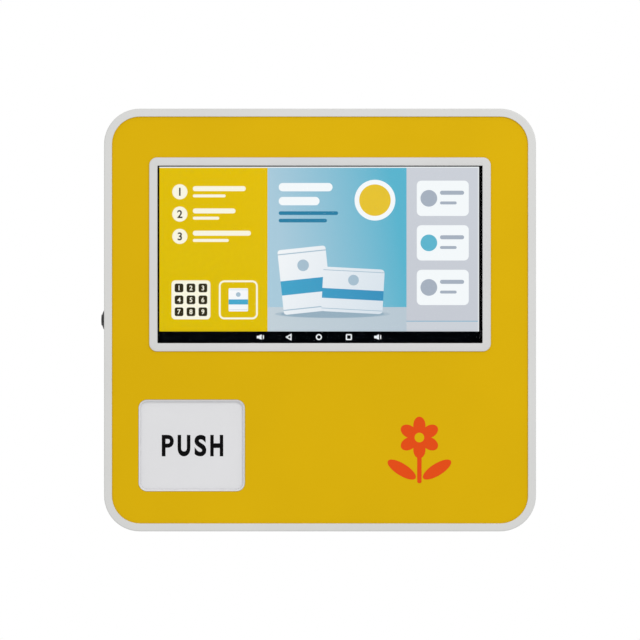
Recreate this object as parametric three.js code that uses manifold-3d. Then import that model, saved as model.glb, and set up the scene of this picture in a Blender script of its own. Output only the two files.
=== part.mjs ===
// Wall-hung sanitary napkin vending machine, in millimetres.
// +Z is up, the front faces -Y, and the origin is the centre of the rear face that lies on the wall.
import * as THREE from "three";
import { mergeVertices } from "three/addons/utils/BufferGeometryUtils.js";
import Module from "manifold-3d";

const wasm = await Module();
wasm.setup();

// Driving dimensions of the whole machine
const CASE_W = 465;
const CASE_H = 455;
const MACHINE_D = 150;
const CORNER_R = 38.5;
const SHEET = 1.5;
const FIT_GAP = 0.3;
const OVERRUN = 2;

// Door
const DOOR_D = 32;
const SEAM_GAP = 3.5;
const RIM_W = 8.6;
const RETURN_W = 9;
const PANEL_T = 2;

// Case
const LIP_W = 12;
const GASKET_W = 5;
const GASKET_INSET = 5.2;
const KEYHOLE_R = 6;
const KEYHOLE_SLOT_W = 6;
const KEYHOLE_SLOT_L = 14;
const KEYHOLE_SIDE = 82.5;
const KEYHOLE_TOP_INSET = 28;
const KEYHOLE_LOW_INSET = 16;
const VENT_L = 40;
const VENT_W = 4;
const VENT_PITCH = 9;
const VENT_COUNT = 5;
const VENT_SIDE = 82.5;

// Screen
const SCREEN_SIDE = 57.6;
const SCREEN_TOP = 61.4;
const SCREEN_FOOT = 202.6;
const BEZEL_BAND = 8.9;
const BEZEL_R = 8.5;
const BEZEL_T = 1.5;
const BEZEL_NECK = 2.4;
const GLASS_T = 1.6;
const GLASS_LEDGE = 2;
const LCD_SIDE = 4.85;
const LCD_EDGE = 8;
const LCD_T = 5;
const LCD_FOOT_H = 9;

// Screen bracket and the computer behind it
const BRACKET_T = 1.2;
const BRACKET_EAR = 8;
const BRACKET_MARGIN = 7;
const EAR_SCREW_R = 1;
const EAR_SCREW_HEAD_R = 2.4;
const EAR_SCREW_HEAD_T = 1.6;
const EAR_SCREW_INSET = 12;
const COMPUTER_W = 146;
const COMPUTER_H = 96;
const COMPUTER_X = 40;
const STANDOFF_R = 3;
const STANDOFF_L = 5;
const STANDOFF_INSET = 6;
const BOARD_T = 1.6;
const CHIP_H = 5;
const SINK_W = 34;
const SINK_H = 8;
const SINK_FINS = 5;

// Delivery flap and its frame
const LIP_OUT_W = 114.2;
const LIP_OUT_H = 98.3;
const LIP_SIDE = 37.3;
const LIP_FOOT = 43.25;
const LIP_R = 9;
const LIP_BAND = 1.8;
const LIP_BEVEL = 1.4;
const FRAME_FLANGE = 7;
const TUNNEL_T = 2;
const STOP_T = 1.5;
const FLAP_LAP = 1.5;
const FLAP_T = 2.5;
const FLAP_SIDE_GAP = 0.8;
const FLAP_PIN_R = 1.5;
const FLAP_BARREL_R = 3;
const FLAP_PIN_BACK = 3.6;
const FLAP_RIB = 3;
const SPRING_WIRE_R = 0.5;
const SPRING_TURNS = 6;
const SPRING_PITCH = 1.6;
const SPRING_ROOM = 16;
const SPRING_LEG = 14;

// Door hinges
const KNUCKLE_R = 2.5;
const HINGE_PIN_R = 1.1;
const HINGE_H = 50;
const HINGE_INSET = 87.5;
const KNUCKLE_GAP = 0.4;
const LEAF_T = 1.2;
const LEAF_L = 18;
const NOTCH_GAP = 1;

// Lock
const LOCK_HEAD_R = 14.5;
const LOCK_DOME_R = 22;
const LOCK_HEAD_H = 6.2;
const BARREL_R = 9.5;
const BARREL_L = 22;
const PLUG_R = 6;
const PLUG_GAP = 0.2;
const PLUG_TAIL = 2.4;
const KEY_SLOT_W = 1.6;
const KEY_SLOT_H = 8;
const KEY_SLOT_D = 10;
const NUT_T = 5;
const NUT_R = 13;
const CAM_T = 2;
const CAM_HALF_W = 7;
const CAM_REACH = 22;
const KEEPER_T = 2;
const KEEPER_LIFT = 13;
const KEEPER_RAIL = 3;
const KEEPER_SIDE_GAP = 2.4;
const KEEPER_BACK_GAP = 1;
const KEEPER_FOOT_H = 22;

// Vending lanes: a pack stands on edge, its length across the depth
const LANE_FRONT_GAP = 10.7;
const LANE_TOP_GAP = 5.5;
const LANE_COUNT = 2;
const LANE_RISE = 10;
const LANE_SIDE_GAP = 3;
const LANE_END_ROOM = 72.5;
const LANE_REAR_GAP = 0.3;
const TRAY_REAR_H = 60;
const TRAY_LIP_H = 10;
const TRAY_SKIRT_H = 23;
const PACK_GAP = 2;
const PACK_TOP_GAP = 3;
const SLOT_W = 6;
const SLOT_END = 8;
const SCREW_R = 4;
const SCREW_DROP = 12;
const NUT_BLOCK = 16;
const NUT_LEN = 20;
const BORE_GAP = 0.3;
const PUSHER_T = 3;
const PUSHER_SIDE_GAP = 5.5;
const PUSHER_SHORT = 20;
const PUSHER_WEB_T = 4;
const PUSHER_LIFT = 0.6;
const PUSHER_FOOT_L = 30;
const PUSHER_FOOT_W = 40;
const HOME_GAP = 3;
const BEARING_T = 6;
const BEARING_W = 18;
const COUPLER_R = 6.5;
const COUPLER_L = 15;
const GEARBOX_R = 12.5;
const GEARBOX_L = 22;
const MOTOR_R = 12;
const MOTOR_L = 26;
const MOTOR_SHAFT_R = 2;
const MOTOR_SHAFT_L = 9;
const MOTOR_PLATE_T = 2;
const MOTOR_PLATE_W = 34;

// Drop shaft and delivery bin
const SHAFT_TOP = 22.5;
const SHAFT_FLANGE = 8;
const BIN_SIDE_GAP = 3;
const BIN_TOP_RISE = 2.45;
const BIN_SLOPE = 10;
const BIN_SILL = 1;
const BIN_MOUTH_GAP = 2;
const SENSOR_W = 20;
const SENSOR_H = 12;
const SENSOR_T = 7;
const SENSOR_DROP = 24;
const SENSOR_EYE_R = 2.5;

// Electrics
const SUPPLY_SIDE = 38.5;
const SUPPLY_GAP = 17.5;
const SUPPLY_H = 97;
const SUPPLY_D = 30;
const SUPPLY_FOOT = 31;
const SUPPLY_SLOTS = 9;
const SUPPLY_SHELL = 1.2;
const BOARD_W = 96;
const BOARD_H = 84;
const BOARD_SIDE = 24.5;
const BOARD_FOOT = 37.5;
const SPEAKER_R = 25;
const SPEAKER_H = 18;
const SPEAKER_SIDE = 46;
const SPEAKER_SLOT_W = 3;
const SPEAKER_SLOT_COUNT = 5;
const INLET_W = 27;
const INLET_D = 19.5;
const INLET_H = 22;
const INLET_SIDE = 21;
const SOCKET_INSET = 36.5;
const INLET_FLANGE = 4;
const INLET_FLANGE_T = 2;
const INLET_WALL = 1.5;
const INLET_PIN_W = 4;
const INLET_PIN_T = 2;
const INLET_PIN_PITCH = 7;
const LEAD_R = 2.5;
const LEAD_SHIFT = 5;
const LEAD_RISE = 33;
const SWITCH_W = 13;
const SWITCH_D = 19.5;
const SWITCH_SHIFT = 26;
const SWITCH_H = 18;
const SWITCH_WALL = 1.5;
const ROCKER_GAP = 0.5;
const ROCKER_PIVOT = 3;
const ROCKER_EDGE = 4.1;
const ROCKER_TOP = 1.4;
const ROCKER_PIN_R = 1.1;
const ROCKER_TILT_DEG = 9;

// Smoothness of round pieces
const CORNER_STEPS = 6;
const ROUND = 24;
const SMALL_ROUND = 12;
const TINY_ROUND = 6;
const WIRE_ROUND = 5;
const LEAD_ROUND = 8;
const LEAD_STEPS = 12;
const SPRING_STEPS = 9;

// Sizes worked out from the ones above
const CASE_D = MACHINE_D - DOOR_D - SEAM_GAP;
const CASE_IN_W = CASE_W - 2 * SHEET;
const CASE_IN_H = CASE_H - 2 * SHEET;
const CASE_IN_R = CORNER_R - SHEET;
const LEFT = -CASE_W / 2;
const RIGHT = CASE_W / 2;
const BOTTOM = -CASE_H / 2;
const TOP = CASE_H / 2;
const DOOR_REAR_Y = -(MACHINE_D - DOOR_D);
const FRONT_Y = -MACHINE_D;
const PANEL_FRONT_Y = FRONT_Y + SHEET + FIT_GAP;
const PANEL_REAR_Y = PANEL_FRONT_Y + PANEL_T;
const HINGE_X = RIGHT - KNUCKLE_R;
const HINGE_Z = TOP - HINGE_INSET;
const LOCK_DEPTH = CASE_D - LOCK_HEAD_R;
const SOCKET_Y = SOCKET_INSET - CASE_D;
const SCREEN_W = CASE_W - 2 * SCREEN_SIDE;
const SCREEN_H = CASE_H - SCREEN_TOP - SCREEN_FOOT;
const SCREEN_Z = BOTTOM + SCREEN_FOOT + SCREEN_H / 2;
const LCD_W = SCREEN_W + 2 * LCD_SIDE;
const LCD_H = SCREEN_H + 2 * LCD_EDGE;
const BRACKET_H = COMPUTER_H + 2 * BRACKET_MARGIN;
const LIP_X = LEFT + LIP_SIDE + LIP_OUT_W / 2;
const LIP_Z = BOTTOM + LIP_FOOT + LIP_OUT_H / 2;

const COLOUR = {
  white: 0xd9d9d6,
  yellow: 0xd9af01,
  black: 0x141414,
  steel: 0xb9bcc0,
  dark: 0x33363a,
  brass: 0xb59a4a,
  rubber: 0x1c1c1d,
  green: 0x1f5c3a,
  glass: 0x9fb7c0,
  nylon: 0xe8e6df,
};

// One finish for a mesh
function finish(colour, roughness, metalness) {
  return new THREE.MeshStandardMaterial({ color: colour, roughness, metalness });
}

// A named mesh made from a solid, a geometry or a list of either
function piece(name, shape, material) {
  const geometry = shape.isBufferGeometry ? shape : geometryOf(shape);
  const mesh = new THREE.Mesh(geometry, material);
  mesh.name = name;
  return mesh;
}

// A closed geometry as a solid that can be joined and cut
function solid(geometry) {
  const bare = geometry.clone();
  bare.deleteAttribute("normal");
  bare.deleteAttribute("uv");
  const merged = mergeVertices(bare);
  return new wasm.Manifold(
    new wasm.Mesh({
      numProp: 3,
      vertProperties: merged.attributes.position.array,
      triVerts: new Uint32Array(merged.index.array),
    }),
  );
}

function geometryOf(body) {
  const mesh = body.getMesh();
  const geometry = new THREE.BufferGeometry();
  geometry.setAttribute("position", new THREE.BufferAttribute(mesh.vertProperties, 3));
  geometry.setIndex(new THREE.BufferAttribute(mesh.triVerts, 1));
  geometry.computeVertexNormals();
  return geometry;
}

function join(...bodies) {
  return bodies.reduce((sum, body) => sum.add(body));
}

function cut(body, ...tools) {
  return tools.reduce((rest, tool) => rest.subtract(tool), body);
}

// A block between two corners
function block(x0, x1, y0, y1, z0, z1) {
  const geometry = new THREE.BoxGeometry(Math.abs(x1 - x0), Math.abs(y1 - y0), Math.abs(z1 - z0));
  geometry.translate((x0 + x1) / 2, (y0 + y1) / 2, (z0 + z1) / 2);
  return solid(geometry);
}

// A rectangle with round corners, drawn as seen from the front: x to the right, z up
function roundRect(w, h, r, cx = 0, cz = 0) {
  const shape = new THREE.Shape();
  const x = cx - w / 2;
  const z = cz - h / 2;
  shape.absarc(x + w - r, z + r, r, -Math.PI / 2, 0);
  shape.absarc(x + w - r, z + h - r, r, 0, Math.PI / 2);
  shape.absarc(x + r, z + h - r, r, Math.PI / 2, Math.PI);
  shape.absarc(x + r, z + r, r, Math.PI, (3 * Math.PI) / 2);
  shape.closePath();
  return shape;
}

function rect(w, h, cx = 0, cz = 0) {
  return outline([
    [cx - w / 2, cz - h / 2],
    [cx + w / 2, cz - h / 2],
    [cx + w / 2, cz + h / 2],
    [cx - w / 2, cz + h / 2],
  ]);
}

function outline(points) {
  return new THREE.Shape(points.map(([a, b]) => new THREE.Vector2(a, b)));
}

function extruded(shape, depth, steps) {
  return new THREE.ExtrudeGeometry(shape, { depth, bevelEnabled: false, curveSegments: steps });
}

// A front view outline made solid from yBack forward to yFront
function slabY(shape, yBack, yFront, steps = CORNER_STEPS) {
  const geometry = extruded(shape, yBack - yFront, steps);
  geometry.rotateX(Math.PI / 2);
  geometry.translate(0, yBack, 0);
  return solid(geometry);
}

// A side view outline, given as y and z, made solid from x0 to x1
function slabX(shape, x0, x1, steps = CORNER_STEPS) {
  const geometry = extruded(shape, x1 - x0, steps);
  const axes = new THREE.Matrix4().makeBasis(
    new THREE.Vector3(0, 1, 0),
    new THREE.Vector3(0, 0, 1),
    new THREE.Vector3(1, 0, 0),
  );
  geometry.applyMatrix4(axes);
  geometry.translate(x0, 0, 0);
  return solid(geometry);
}

// A turned solid: profile points are radius and distance along the axis, from end to end
function turned(profile, axis, at, sides = ROUND) {
  const closed = [[0, profile[0][1]], ...profile, [0, profile[profile.length - 1][1]]];
  const points = closed.map(([r, s]) => new THREE.Vector2(r, s));
  const geometry = new THREE.LatheGeometry(points, sides);
  if (axis === "x") geometry.rotateZ(-Math.PI / 2);
  if (axis === "z") geometry.rotateX(Math.PI / 2);
  geometry.translate(...at);
  return solid(geometry);
}

// A plain rod of one radius from s0 to s1 along an axis through a point
function rod(r, s0, s1, axis, at, sides = ROUND) {
  return turned([[r, s0], [r, s1]], axis, at, sides);
}

// A keyhole seen from the front: a round entry with a slot above it
function keyholeTool(x, z) {
  const round = rod(KEYHOLE_R, -SHEET - OVERRUN, OVERRUN, "y", [x, 0, z], SMALL_ROUND);
  const slot = block(
    x - KEYHOLE_SLOT_W / 2,
    x + KEYHOLE_SLOT_W / 2,
    OVERRUN,
    -SHEET - OVERRUN,
    z,
    z + KEYHOLE_SLOT_L,
  );
  return join(round, slot);
}

// The hole for a hinge through a lip at the side: open to the seam
function hingeNotch(yFrom, yTo, z) {
  const half = HINGE_H / 2 + HINGE_PIN_R + NOTCH_GAP;
  return block(HINGE_X - KNUCKLE_R - NOTCH_GAP, RIGHT + OVERRUN, yFrom, yTo, z - half, z + half);
}

const hingePlaces = [HINGE_Z, -HINGE_Z];

// The rear case: side band, back panel and the lip round its mouth
function rearCase() {
  const outer = roundRect(CASE_W, CASE_H, CORNER_R);
  const shell = slabY(outer, 0, -CASE_D);
  const hollow = slabY(roundRect(CASE_IN_W, CASE_IN_H, CASE_IN_R), -SHEET, -CASE_D + SHEET);
  const mouthW = CASE_IN_W - 2 * LIP_W;
  const mouthH = CASE_IN_H - 2 * LIP_W;
  const mouth = slabY(
    roundRect(mouthW, mouthH, CASE_IN_R - LIP_W),
    -CASE_D + SHEET + OVERRUN,
    -CASE_D - OVERRUN,
  );
  let body = cut(shell, hollow, mouth);
  const keyholeRows = [BOTTOM + KEYHOLE_LOW_INSET, TOP - KEYHOLE_TOP_INSET];
  for (const x of [LEFT + KEYHOLE_SIDE, RIGHT - KEYHOLE_SIDE]) {
    for (const z of keyholeRows) body = cut(body, keyholeTool(x, z));
  }
  for (const mid of [LEFT + VENT_SIDE, RIGHT - VENT_SIDE]) {
    for (let i = 0; i < VENT_COUNT; i++) {
      const y = -CASE_D / 2 + (i - (VENT_COUNT - 1) / 2) * VENT_PITCH;
      body = cut(
        body,
        block(mid - VENT_L / 2, mid + VENT_L / 2, y, y + VENT_W, TOP - SHEET - OVERRUN, TOP + OVERRUN),
      );
    }
  }
  for (let i = 0; i < SPEAKER_SLOT_COUNT; i++) {
    const x = SPEAKER_X + (i - (SPEAKER_SLOT_COUNT - 1) / 2) * 2 * SPEAKER_SLOT_W;
    body = cut(
      body,
      block(
        x - SPEAKER_SLOT_W / 2,
        x + SPEAKER_SLOT_W / 2,
        SOCKET_Y - SPEAKER_R / 2,
        SOCKET_Y + SPEAKER_R / 2,
        BOTTOM - OVERRUN,
        BOTTOM + SHEET + OVERRUN,
      ),
    );
  }
  const inletHole = block(
    INLET_X - INLET_W / 2 - FIT_GAP,
    INLET_X + INLET_W / 2 + FIT_GAP,
    SOCKET_Y - INLET_D / 2 - FIT_GAP,
    SOCKET_Y + INLET_D / 2 + FIT_GAP,
    BOTTOM - OVERRUN,
    BOTTOM + SHEET + OVERRUN,
  );
  const switchHole = block(
    SWITCH_X - SWITCH_W / 2 - FIT_GAP,
    SWITCH_X + SWITCH_W / 2 + FIT_GAP,
    SOCKET_Y - SWITCH_D / 2 - FIT_GAP,
    SOCKET_Y + SWITCH_D / 2 + FIT_GAP,
    BOTTOM - OVERRUN,
    BOTTOM + SHEET + OVERRUN,
  );
  const lockHole = rod(
    BARREL_R + FIT_GAP,
    LEFT - OVERRUN,
    LEFT + SHEET + OVERRUN,
    "x",
    [0, -LOCK_DEPTH, 0],
  );
  body = cut(body, inletHole, switchHole, lockHole);
  const lipNotches = hingePlaces.map((z) =>
    cut(
      hingeNotch(-CASE_D + SHEET + FIT_GAP, -CASE_D - OVERRUN, z),
      block(RIGHT - SHEET, RIGHT + 2 * OVERRUN, 0, -MACHINE_D, -CASE_H, CASE_H),
    ),
  );
  return cut(body, ...lipNotches);
}

// The soft strip that seals the seam between case and door
function doorGasket() {
  const outerW = CASE_IN_W - 2 * GASKET_INSET;
  const outerH = CASE_IN_H - 2 * GASKET_INSET;
  const outerR = CASE_IN_R - GASKET_INSET;
  const back = -CASE_D - FIT_GAP;
  const front = DOOR_REAR_Y + FIT_GAP;
  const strip = slabY(roundRect(outerW, outerH, outerR), back, front);
  const inside = roundRect(outerW - 2 * GASKET_W, outerH - 2 * GASKET_W, outerR - GASKET_W);
  return cut(strip, slabY(inside, back + OVERRUN, front - OVERRUN));
}

// The door frame: the rim seen from the front, the side band and the return behind it
function doorFrame() {
  const outer = slabY(roundRect(CASE_W, CASE_H, CORNER_R), DOOR_REAR_Y, FRONT_Y);
  const hollow = slabY(
    roundRect(CASE_IN_W, CASE_IN_H, CASE_IN_R),
    DOOR_REAR_Y - SHEET,
    FRONT_Y + SHEET,
  );
  const windowShape = roundRect(CASE_W - 2 * RIM_W, CASE_H - 2 * RIM_W, CORNER_R - RIM_W);
  const window = slabY(windowShape, FRONT_Y + SHEET + OVERRUN, FRONT_Y - OVERRUN);
  const returnShape = roundRect(
    CASE_IN_W - 2 * RETURN_W,
    CASE_IN_H - 2 * RETURN_W,
    CASE_IN_R - RETURN_W,
  );
  const mouth = slabY(returnShape, DOOR_REAR_Y + OVERRUN, DOOR_REAR_Y - SHEET - OVERRUN);
  const reach = DOOR_REAR_Y - KNUCKLE_R - NOTCH_GAP;
  const notches = hingePlaces.map((z) => hingeNotch(DOOR_REAR_Y + OVERRUN, reach, z));
  return cut(outer, hollow, window, mouth, ...notches);
}

const bezelNeckW = SCREEN_W + 2 * BEZEL_NECK + 2 * GLASS_LEDGE;
const bezelNeckH = SCREEN_H + 2 * BEZEL_NECK + 2 * GLASS_LEDGE;
const flapOpenW = LIP_OUT_W - 2 * LIP_BAND;
const flapOpenH = LIP_OUT_H - 2 * LIP_BAND;
const flapOpenR = LIP_R - LIP_BAND;

// The flat coloured panel behind the rim, with cut-outs for the screen and the flap frame
function frontPanel() {
  const gap = FIT_GAP;
  const plate = slabY(
    roundRect(CASE_IN_W - 2 * gap, CASE_IN_H - 2 * gap, CASE_IN_R - gap),
    PANEL_REAR_Y,
    PANEL_FRONT_Y,
  );
  const screenHole = slabY(
    rect(bezelNeckW + 2 * gap, bezelNeckH + 2 * gap, 0, SCREEN_Z),
    PANEL_REAR_Y + OVERRUN,
    PANEL_FRONT_Y - OVERRUN,
  );
  const flapHole = slabY(
    roundRect(LIP_OUT_W + 2 * gap, LIP_OUT_H + 2 * gap, LIP_R + gap, LIP_X, LIP_Z),
    PANEL_REAR_Y + OVERRUN,
    PANEL_FRONT_Y - OVERRUN,
  );
  return cut(plate, screenHole, flapHole);
}

// The screen bezel: a flat frame in front of the panel and a neck through its cut-out
function screenBezel() {
  const outerW = SCREEN_W + 2 * BEZEL_BAND;
  const outerH = SCREEN_H + 2 * BEZEL_BAND;
  const back = PANEL_FRONT_Y - FIT_GAP;
  const flange = slabY(roundRect(outerW, outerH, BEZEL_R, 0, SCREEN_Z), back, back - BEZEL_T);
  const neck = slabY(rect(bezelNeckW, bezelNeckH, 0, SCREEN_Z), PANEL_REAR_Y, back - BEZEL_T / 2);
  const seatW = SCREEN_W + 2 * GLASS_LEDGE + 2 * FIT_GAP;
  const seatH = SCREEN_H + 2 * GLASS_LEDGE + 2 * FIT_GAP;
  const seat = slabY(rect(seatW, seatH, 0, SCREEN_Z), PANEL_REAR_Y + OVERRUN, back);
  const opening = slabY(rect(SCREEN_W, SCREEN_H, 0, SCREEN_Z), back + OVERRUN, back - 2 * BEZEL_T);
  return cut(join(flange, neck), seat, opening);
}

function screenGlass() {
  const front = PANEL_FRONT_Y;
  const shape = rect(SCREEN_W + 2 * GLASS_LEDGE, SCREEN_H + 2 * GLASS_LEDGE, 0, SCREEN_Z);
  return slabY(shape, front + GLASS_T, front);
}

const LCD_FRONT_Y = PANEL_REAR_Y + FIT_GAP;
const LCD_REAR_Y = LCD_FRONT_Y + LCD_T;

// The display module with its driver strip along the lower edge
function lcdPanel() {
  const plate = slabY(rect(LCD_W, LCD_H, 0, SCREEN_Z), LCD_REAR_Y, LCD_FRONT_Y);
  const low = SCREEN_Z - LCD_H / 2;
  const recess = block(
    -LCD_W / 2 + LCD_FOOT_H,
    LCD_W / 2 - LCD_FOOT_H,
    LCD_REAR_Y + OVERRUN,
    LCD_REAR_Y - LCD_T / 3,
    low + LCD_FOOT_H,
    low + 3 * LCD_FOOT_H,
  );
  return cut(plate, recess);
}

const BRACKET_FRONT_Y = LCD_REAR_Y + FIT_GAP;

// A folded strap that clamps the display against the panel: back, two sides and two ears
function screenBracket() {
  const z0 = SCREEN_Z - BRACKET_H / 2;
  const z1 = SCREEN_Z + BRACKET_H / 2;
  const inX = LCD_W / 2 + FIT_GAP;
  const backY = BRACKET_FRONT_Y + BRACKET_T;
  const earY = PANEL_REAR_Y + FIT_GAP;
  const back = block(-inX - BRACKET_T, inX + BRACKET_T, backY, BRACKET_FRONT_Y, z0, z1);
  const sides = [-1, 1].flatMap((s) => [
    block(s * inX, s * (inX + BRACKET_T), backY, earY, z0, z1),
    block(s * inX, s * (inX + BRACKET_EAR), earY + BRACKET_T, earY, z0, z1),
  ]);
  const holes = earScrewPlaces().map(([x, z]) =>
    rod(EAR_SCREW_R + FIT_GAP, earY - OVERRUN, backY, "y", [x, 0, z], SMALL_ROUND),
  );
  return cut(join(back, ...sides), ...holes);
}

// The four places of the screws in the bracket's ears
function earScrewPlaces() {
  const x = LCD_W / 2 + FIT_GAP + (BRACKET_EAR + BRACKET_T) / 2;
  const z = BRACKET_H / 2 - EAR_SCREW_INSET;
  return [
    [-x, SCREEN_Z - z],
    [x, SCREEN_Z - z],
    [-x, SCREEN_Z + z],
    [x, SCREEN_Z + z],
  ];
}

// A pan head screw at the origin, its shank pointing to the front
function earScrew() {
  const seat = PANEL_REAR_Y + FIT_GAP + BRACKET_T + FIT_GAP;
  return turned(
    [
      [EAR_SCREW_R, PANEL_REAR_Y + FIT_GAP],
      [EAR_SCREW_R, seat],
      [EAR_SCREW_HEAD_R, seat],
      [EAR_SCREW_HEAD_R, seat + EAR_SCREW_HEAD_T / 2],
      [EAR_SCREW_HEAD_R / 2, seat + EAR_SCREW_HEAD_T],
    ],
    "y",
    [0, 0, 0],
    TINY_ROUND,
  );
}

// A circuit board on four standoffs, its chips and a finned sink on the far side.
// It is built with its seat at y = 0 and stands out along dir.
function circuitBoard(w, h, dir, sinkShare) {
  const boardY = dir * STANDOFF_L;
  const topY = boardY + dir * BOARD_T;
  let body = block(-w / 2, w / 2, boardY, topY, -h / 2, h / 2);
  for (const sx of [-1, 1]) {
    for (const sz of [-1, 1]) {
      const x = sx * (w / 2 - STANDOFF_INSET);
      const z = sz * (h / 2 - STANDOFF_INSET);
      const ends = [0, topY + dir * BOARD_T].sort((a, b) => a - b);
      body = join(body, rod(STANDOFF_R, ends[0], ends[1], "y", [x, 0, z], TINY_ROUND));
    }
  }
  const chipShares = [
    [-0.28, 0.24, 0.16, 0.18],
    [0.3, -0.26, 0.2, 0.12],
    [-0.3, -0.2, 0.1, 0.22],
    [0.02, -0.3, 0.12, 0.1],
  ];
  for (const [cx, cz, cw, ch] of chipShares) {
    const deep = topY - dir * (BOARD_T / 2);
    body = join(
      body,
      block(
        (cx - cw / 2) * w,
        (cx + cw / 2) * w,
        deep,
        topY + dir * CHIP_H,
        (cz - ch / 2) * h,
        (cz + ch / 2) * h,
      ),
    );
  }
  const sinkX = sinkShare[0] * w;
  const sinkZ = sinkShare[1] * h;
  const base = topY + dir * (SINK_H / 4);
  const half = SINK_W / 2;
  body = join(
    body,
    block(sinkX - half, sinkX + half, topY - dir * (BOARD_T / 2), base, sinkZ - half, sinkZ + half),
  );
  for (let i = 0; i < SINK_FINS; i++) {
    const pitch = SINK_W / (SINK_FINS - 1 / 2);
    const z = sinkZ - half + i * pitch;
    const fin = [base - dir * (BOARD_T / 2), topY + dir * SINK_H];
    body = join(body, block(sinkX - half, sinkX + half, fin[0], fin[1], z, z + pitch / 2));
  }
  return body;
}

const STOP_FRONT_Y = PANEL_REAR_Y + FIT_GAP;
const STOP_REAR_Y = STOP_FRONT_Y + STOP_T;
const FLAP_FRONT_Y = STOP_REAR_Y + FIT_GAP;
const FLAP_PIN_Y = FLAP_FRONT_Y + FLAP_T + FLAP_PIN_BACK;
const FLAP_PIN_Z = LIP_Z + flapOpenH / 2 + FLAP_LAP;
const FLAP_W = flapOpenW + 2 * FLAP_LAP;
const FLAP_LOW_Z = LIP_Z - flapOpenH / 2 - FLAP_LAP;
const TUNNEL_IN_W = FLAP_W + 2 * FLAP_SIDE_GAP;
const TUNNEL_TOP_Z = FLAP_PIN_Z + FLAP_BARREL_R + FLAP_SIDE_GAP;
const TUNNEL_LOW_Z = FLAP_LOW_Z - FLAP_SIDE_GAP;
const TUNNEL_REAR_Y = DOOR_REAR_Y - FIT_GAP;

// The bevelled lip seen from the front, its flange behind the panel and the tunnel to the bin
function flapFrame() {
  const lip = slabY(
    roundRect(LIP_OUT_W, LIP_OUT_H, LIP_R, LIP_X, LIP_Z),
    STOP_FRONT_Y + STOP_T / 2,
    PANEL_FRONT_Y,
  );
  const flangeW = LIP_OUT_W + 2 * FRAME_FLANGE;
  const flangeH = LIP_OUT_H + 2 * FRAME_FLANGE;
  const flange = slabY(
    roundRect(flangeW, flangeH, LIP_R + FRAME_FLANGE, LIP_X, LIP_Z),
    STOP_REAR_Y,
    STOP_FRONT_Y,
  );
  const outX = TUNNEL_IN_W / 2 + TUNNEL_T;
  const tunnel = block(
    LIP_X - outX,
    LIP_X + outX,
    STOP_REAR_Y - STOP_T / 2,
    TUNNEL_REAR_Y,
    TUNNEL_LOW_Z - TUNNEL_T,
    TUNNEL_TOP_Z + TUNNEL_T,
  );
  const bore = block(
    LIP_X - TUNNEL_IN_W / 2,
    LIP_X + TUNNEL_IN_W / 2,
    STOP_REAR_Y,
    TUNNEL_REAR_Y + OVERRUN,
    TUNNEL_LOW_Z,
    TUNNEL_TOP_Z,
  );
  const opening = roundRect(flapOpenW, flapOpenH, flapOpenR, LIP_X, LIP_Z);
  const straight = slabY(opening, STOP_REAR_Y + OVERRUN, PANEL_FRONT_Y - OVERRUN);
  const bevel = new THREE.ExtrudeGeometry(opening, {
    depth: OVERRUN,
    bevelEnabled: true,
    bevelSegments: 1,
    bevelThickness: LIP_BEVEL,
    bevelSize: LIP_BAND - FIT_GAP,
    curveSegments: CORNER_STEPS,
  });
  bevel.rotateX(Math.PI / 2);
  bevel.translate(0, PANEL_FRONT_Y, 0);
  const pinHole = rod(
    FLAP_PIN_R + FIT_GAP,
    LIP_X - outX - OVERRUN,
    LIP_X + outX + OVERRUN,
    "x",
    [0, FLAP_PIN_Y, FLAP_PIN_Z],
    SMALL_ROUND,
  );
  return cut(join(lip, flange, tunnel), bore, straight, solid(bevel), pinHole);
}

// The flap: a plate with a stiffening rim and a barrel for its pin, open where the spring sits
function flap() {
  const x0 = LIP_X - FLAP_W / 2;
  const x1 = LIP_X + FLAP_W / 2;
  const rearY = FLAP_FRONT_Y + FLAP_T;
  const plate = block(x0, x1, rearY, FLAP_FRONT_Y, FLAP_LOW_Z, FLAP_PIN_Z);
  const barrel = rod(FLAP_BARREL_R, x0, x1, "x", [0, FLAP_PIN_Y, FLAP_PIN_Z], SMALL_ROUND);
  const web = block(x0, x1, rearY - FLAP_T / 2, FLAP_PIN_Y, FLAP_PIN_Z - FLAP_BARREL_R, FLAP_PIN_Z);
  const ribs = [
    block(x0, x0 + FLAP_RIB, rearY - FLAP_T / 2, rearY + FLAP_RIB, FLAP_LOW_Z, FLAP_PIN_Z),
    block(x1 - FLAP_RIB, x1, rearY - FLAP_T / 2, rearY + FLAP_RIB, FLAP_LOW_Z, FLAP_PIN_Z),
    block(x0, x1, rearY - FLAP_T / 2, rearY + FLAP_RIB, FLAP_LOW_Z, FLAP_LOW_Z + FLAP_RIB),
  ];
  const room = block(
    LIP_X - SPRING_ROOM / 2,
    LIP_X + SPRING_ROOM / 2,
    rearY,
    FLAP_PIN_Y + 2 * FLAP_BARREL_R,
    FLAP_PIN_Z - 2 * FLAP_BARREL_R,
    FLAP_PIN_Z + 2 * FLAP_BARREL_R,
  );
  const hole = rod(
    FLAP_PIN_R + FIT_GAP,
    x0 - OVERRUN,
    x1 + OVERRUN,
    "x",
    [0, FLAP_PIN_Y, FLAP_PIN_Z],
    SMALL_ROUND,
  );
  return cut(join(plate, barrel, web, ...ribs), room, hole);
}

function flapPin() {
  const half = TUNNEL_IN_W / 2 + TUNNEL_T;
  const headShare = 1.6;
  const head = FLAP_PIN_R * headShare;
  return turned(
    [
      [head, LIP_X - half - FIT_GAP - FLAP_PIN_R],
      [head, LIP_X - half - FIT_GAP],
      [FLAP_PIN_R, LIP_X - half - FIT_GAP],
      [FLAP_PIN_R, LIP_X + half + FLAP_PIN_R],
    ],
    "x",
    [0, FLAP_PIN_Y, FLAP_PIN_Z],
    SMALL_ROUND,
  );
}

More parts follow.
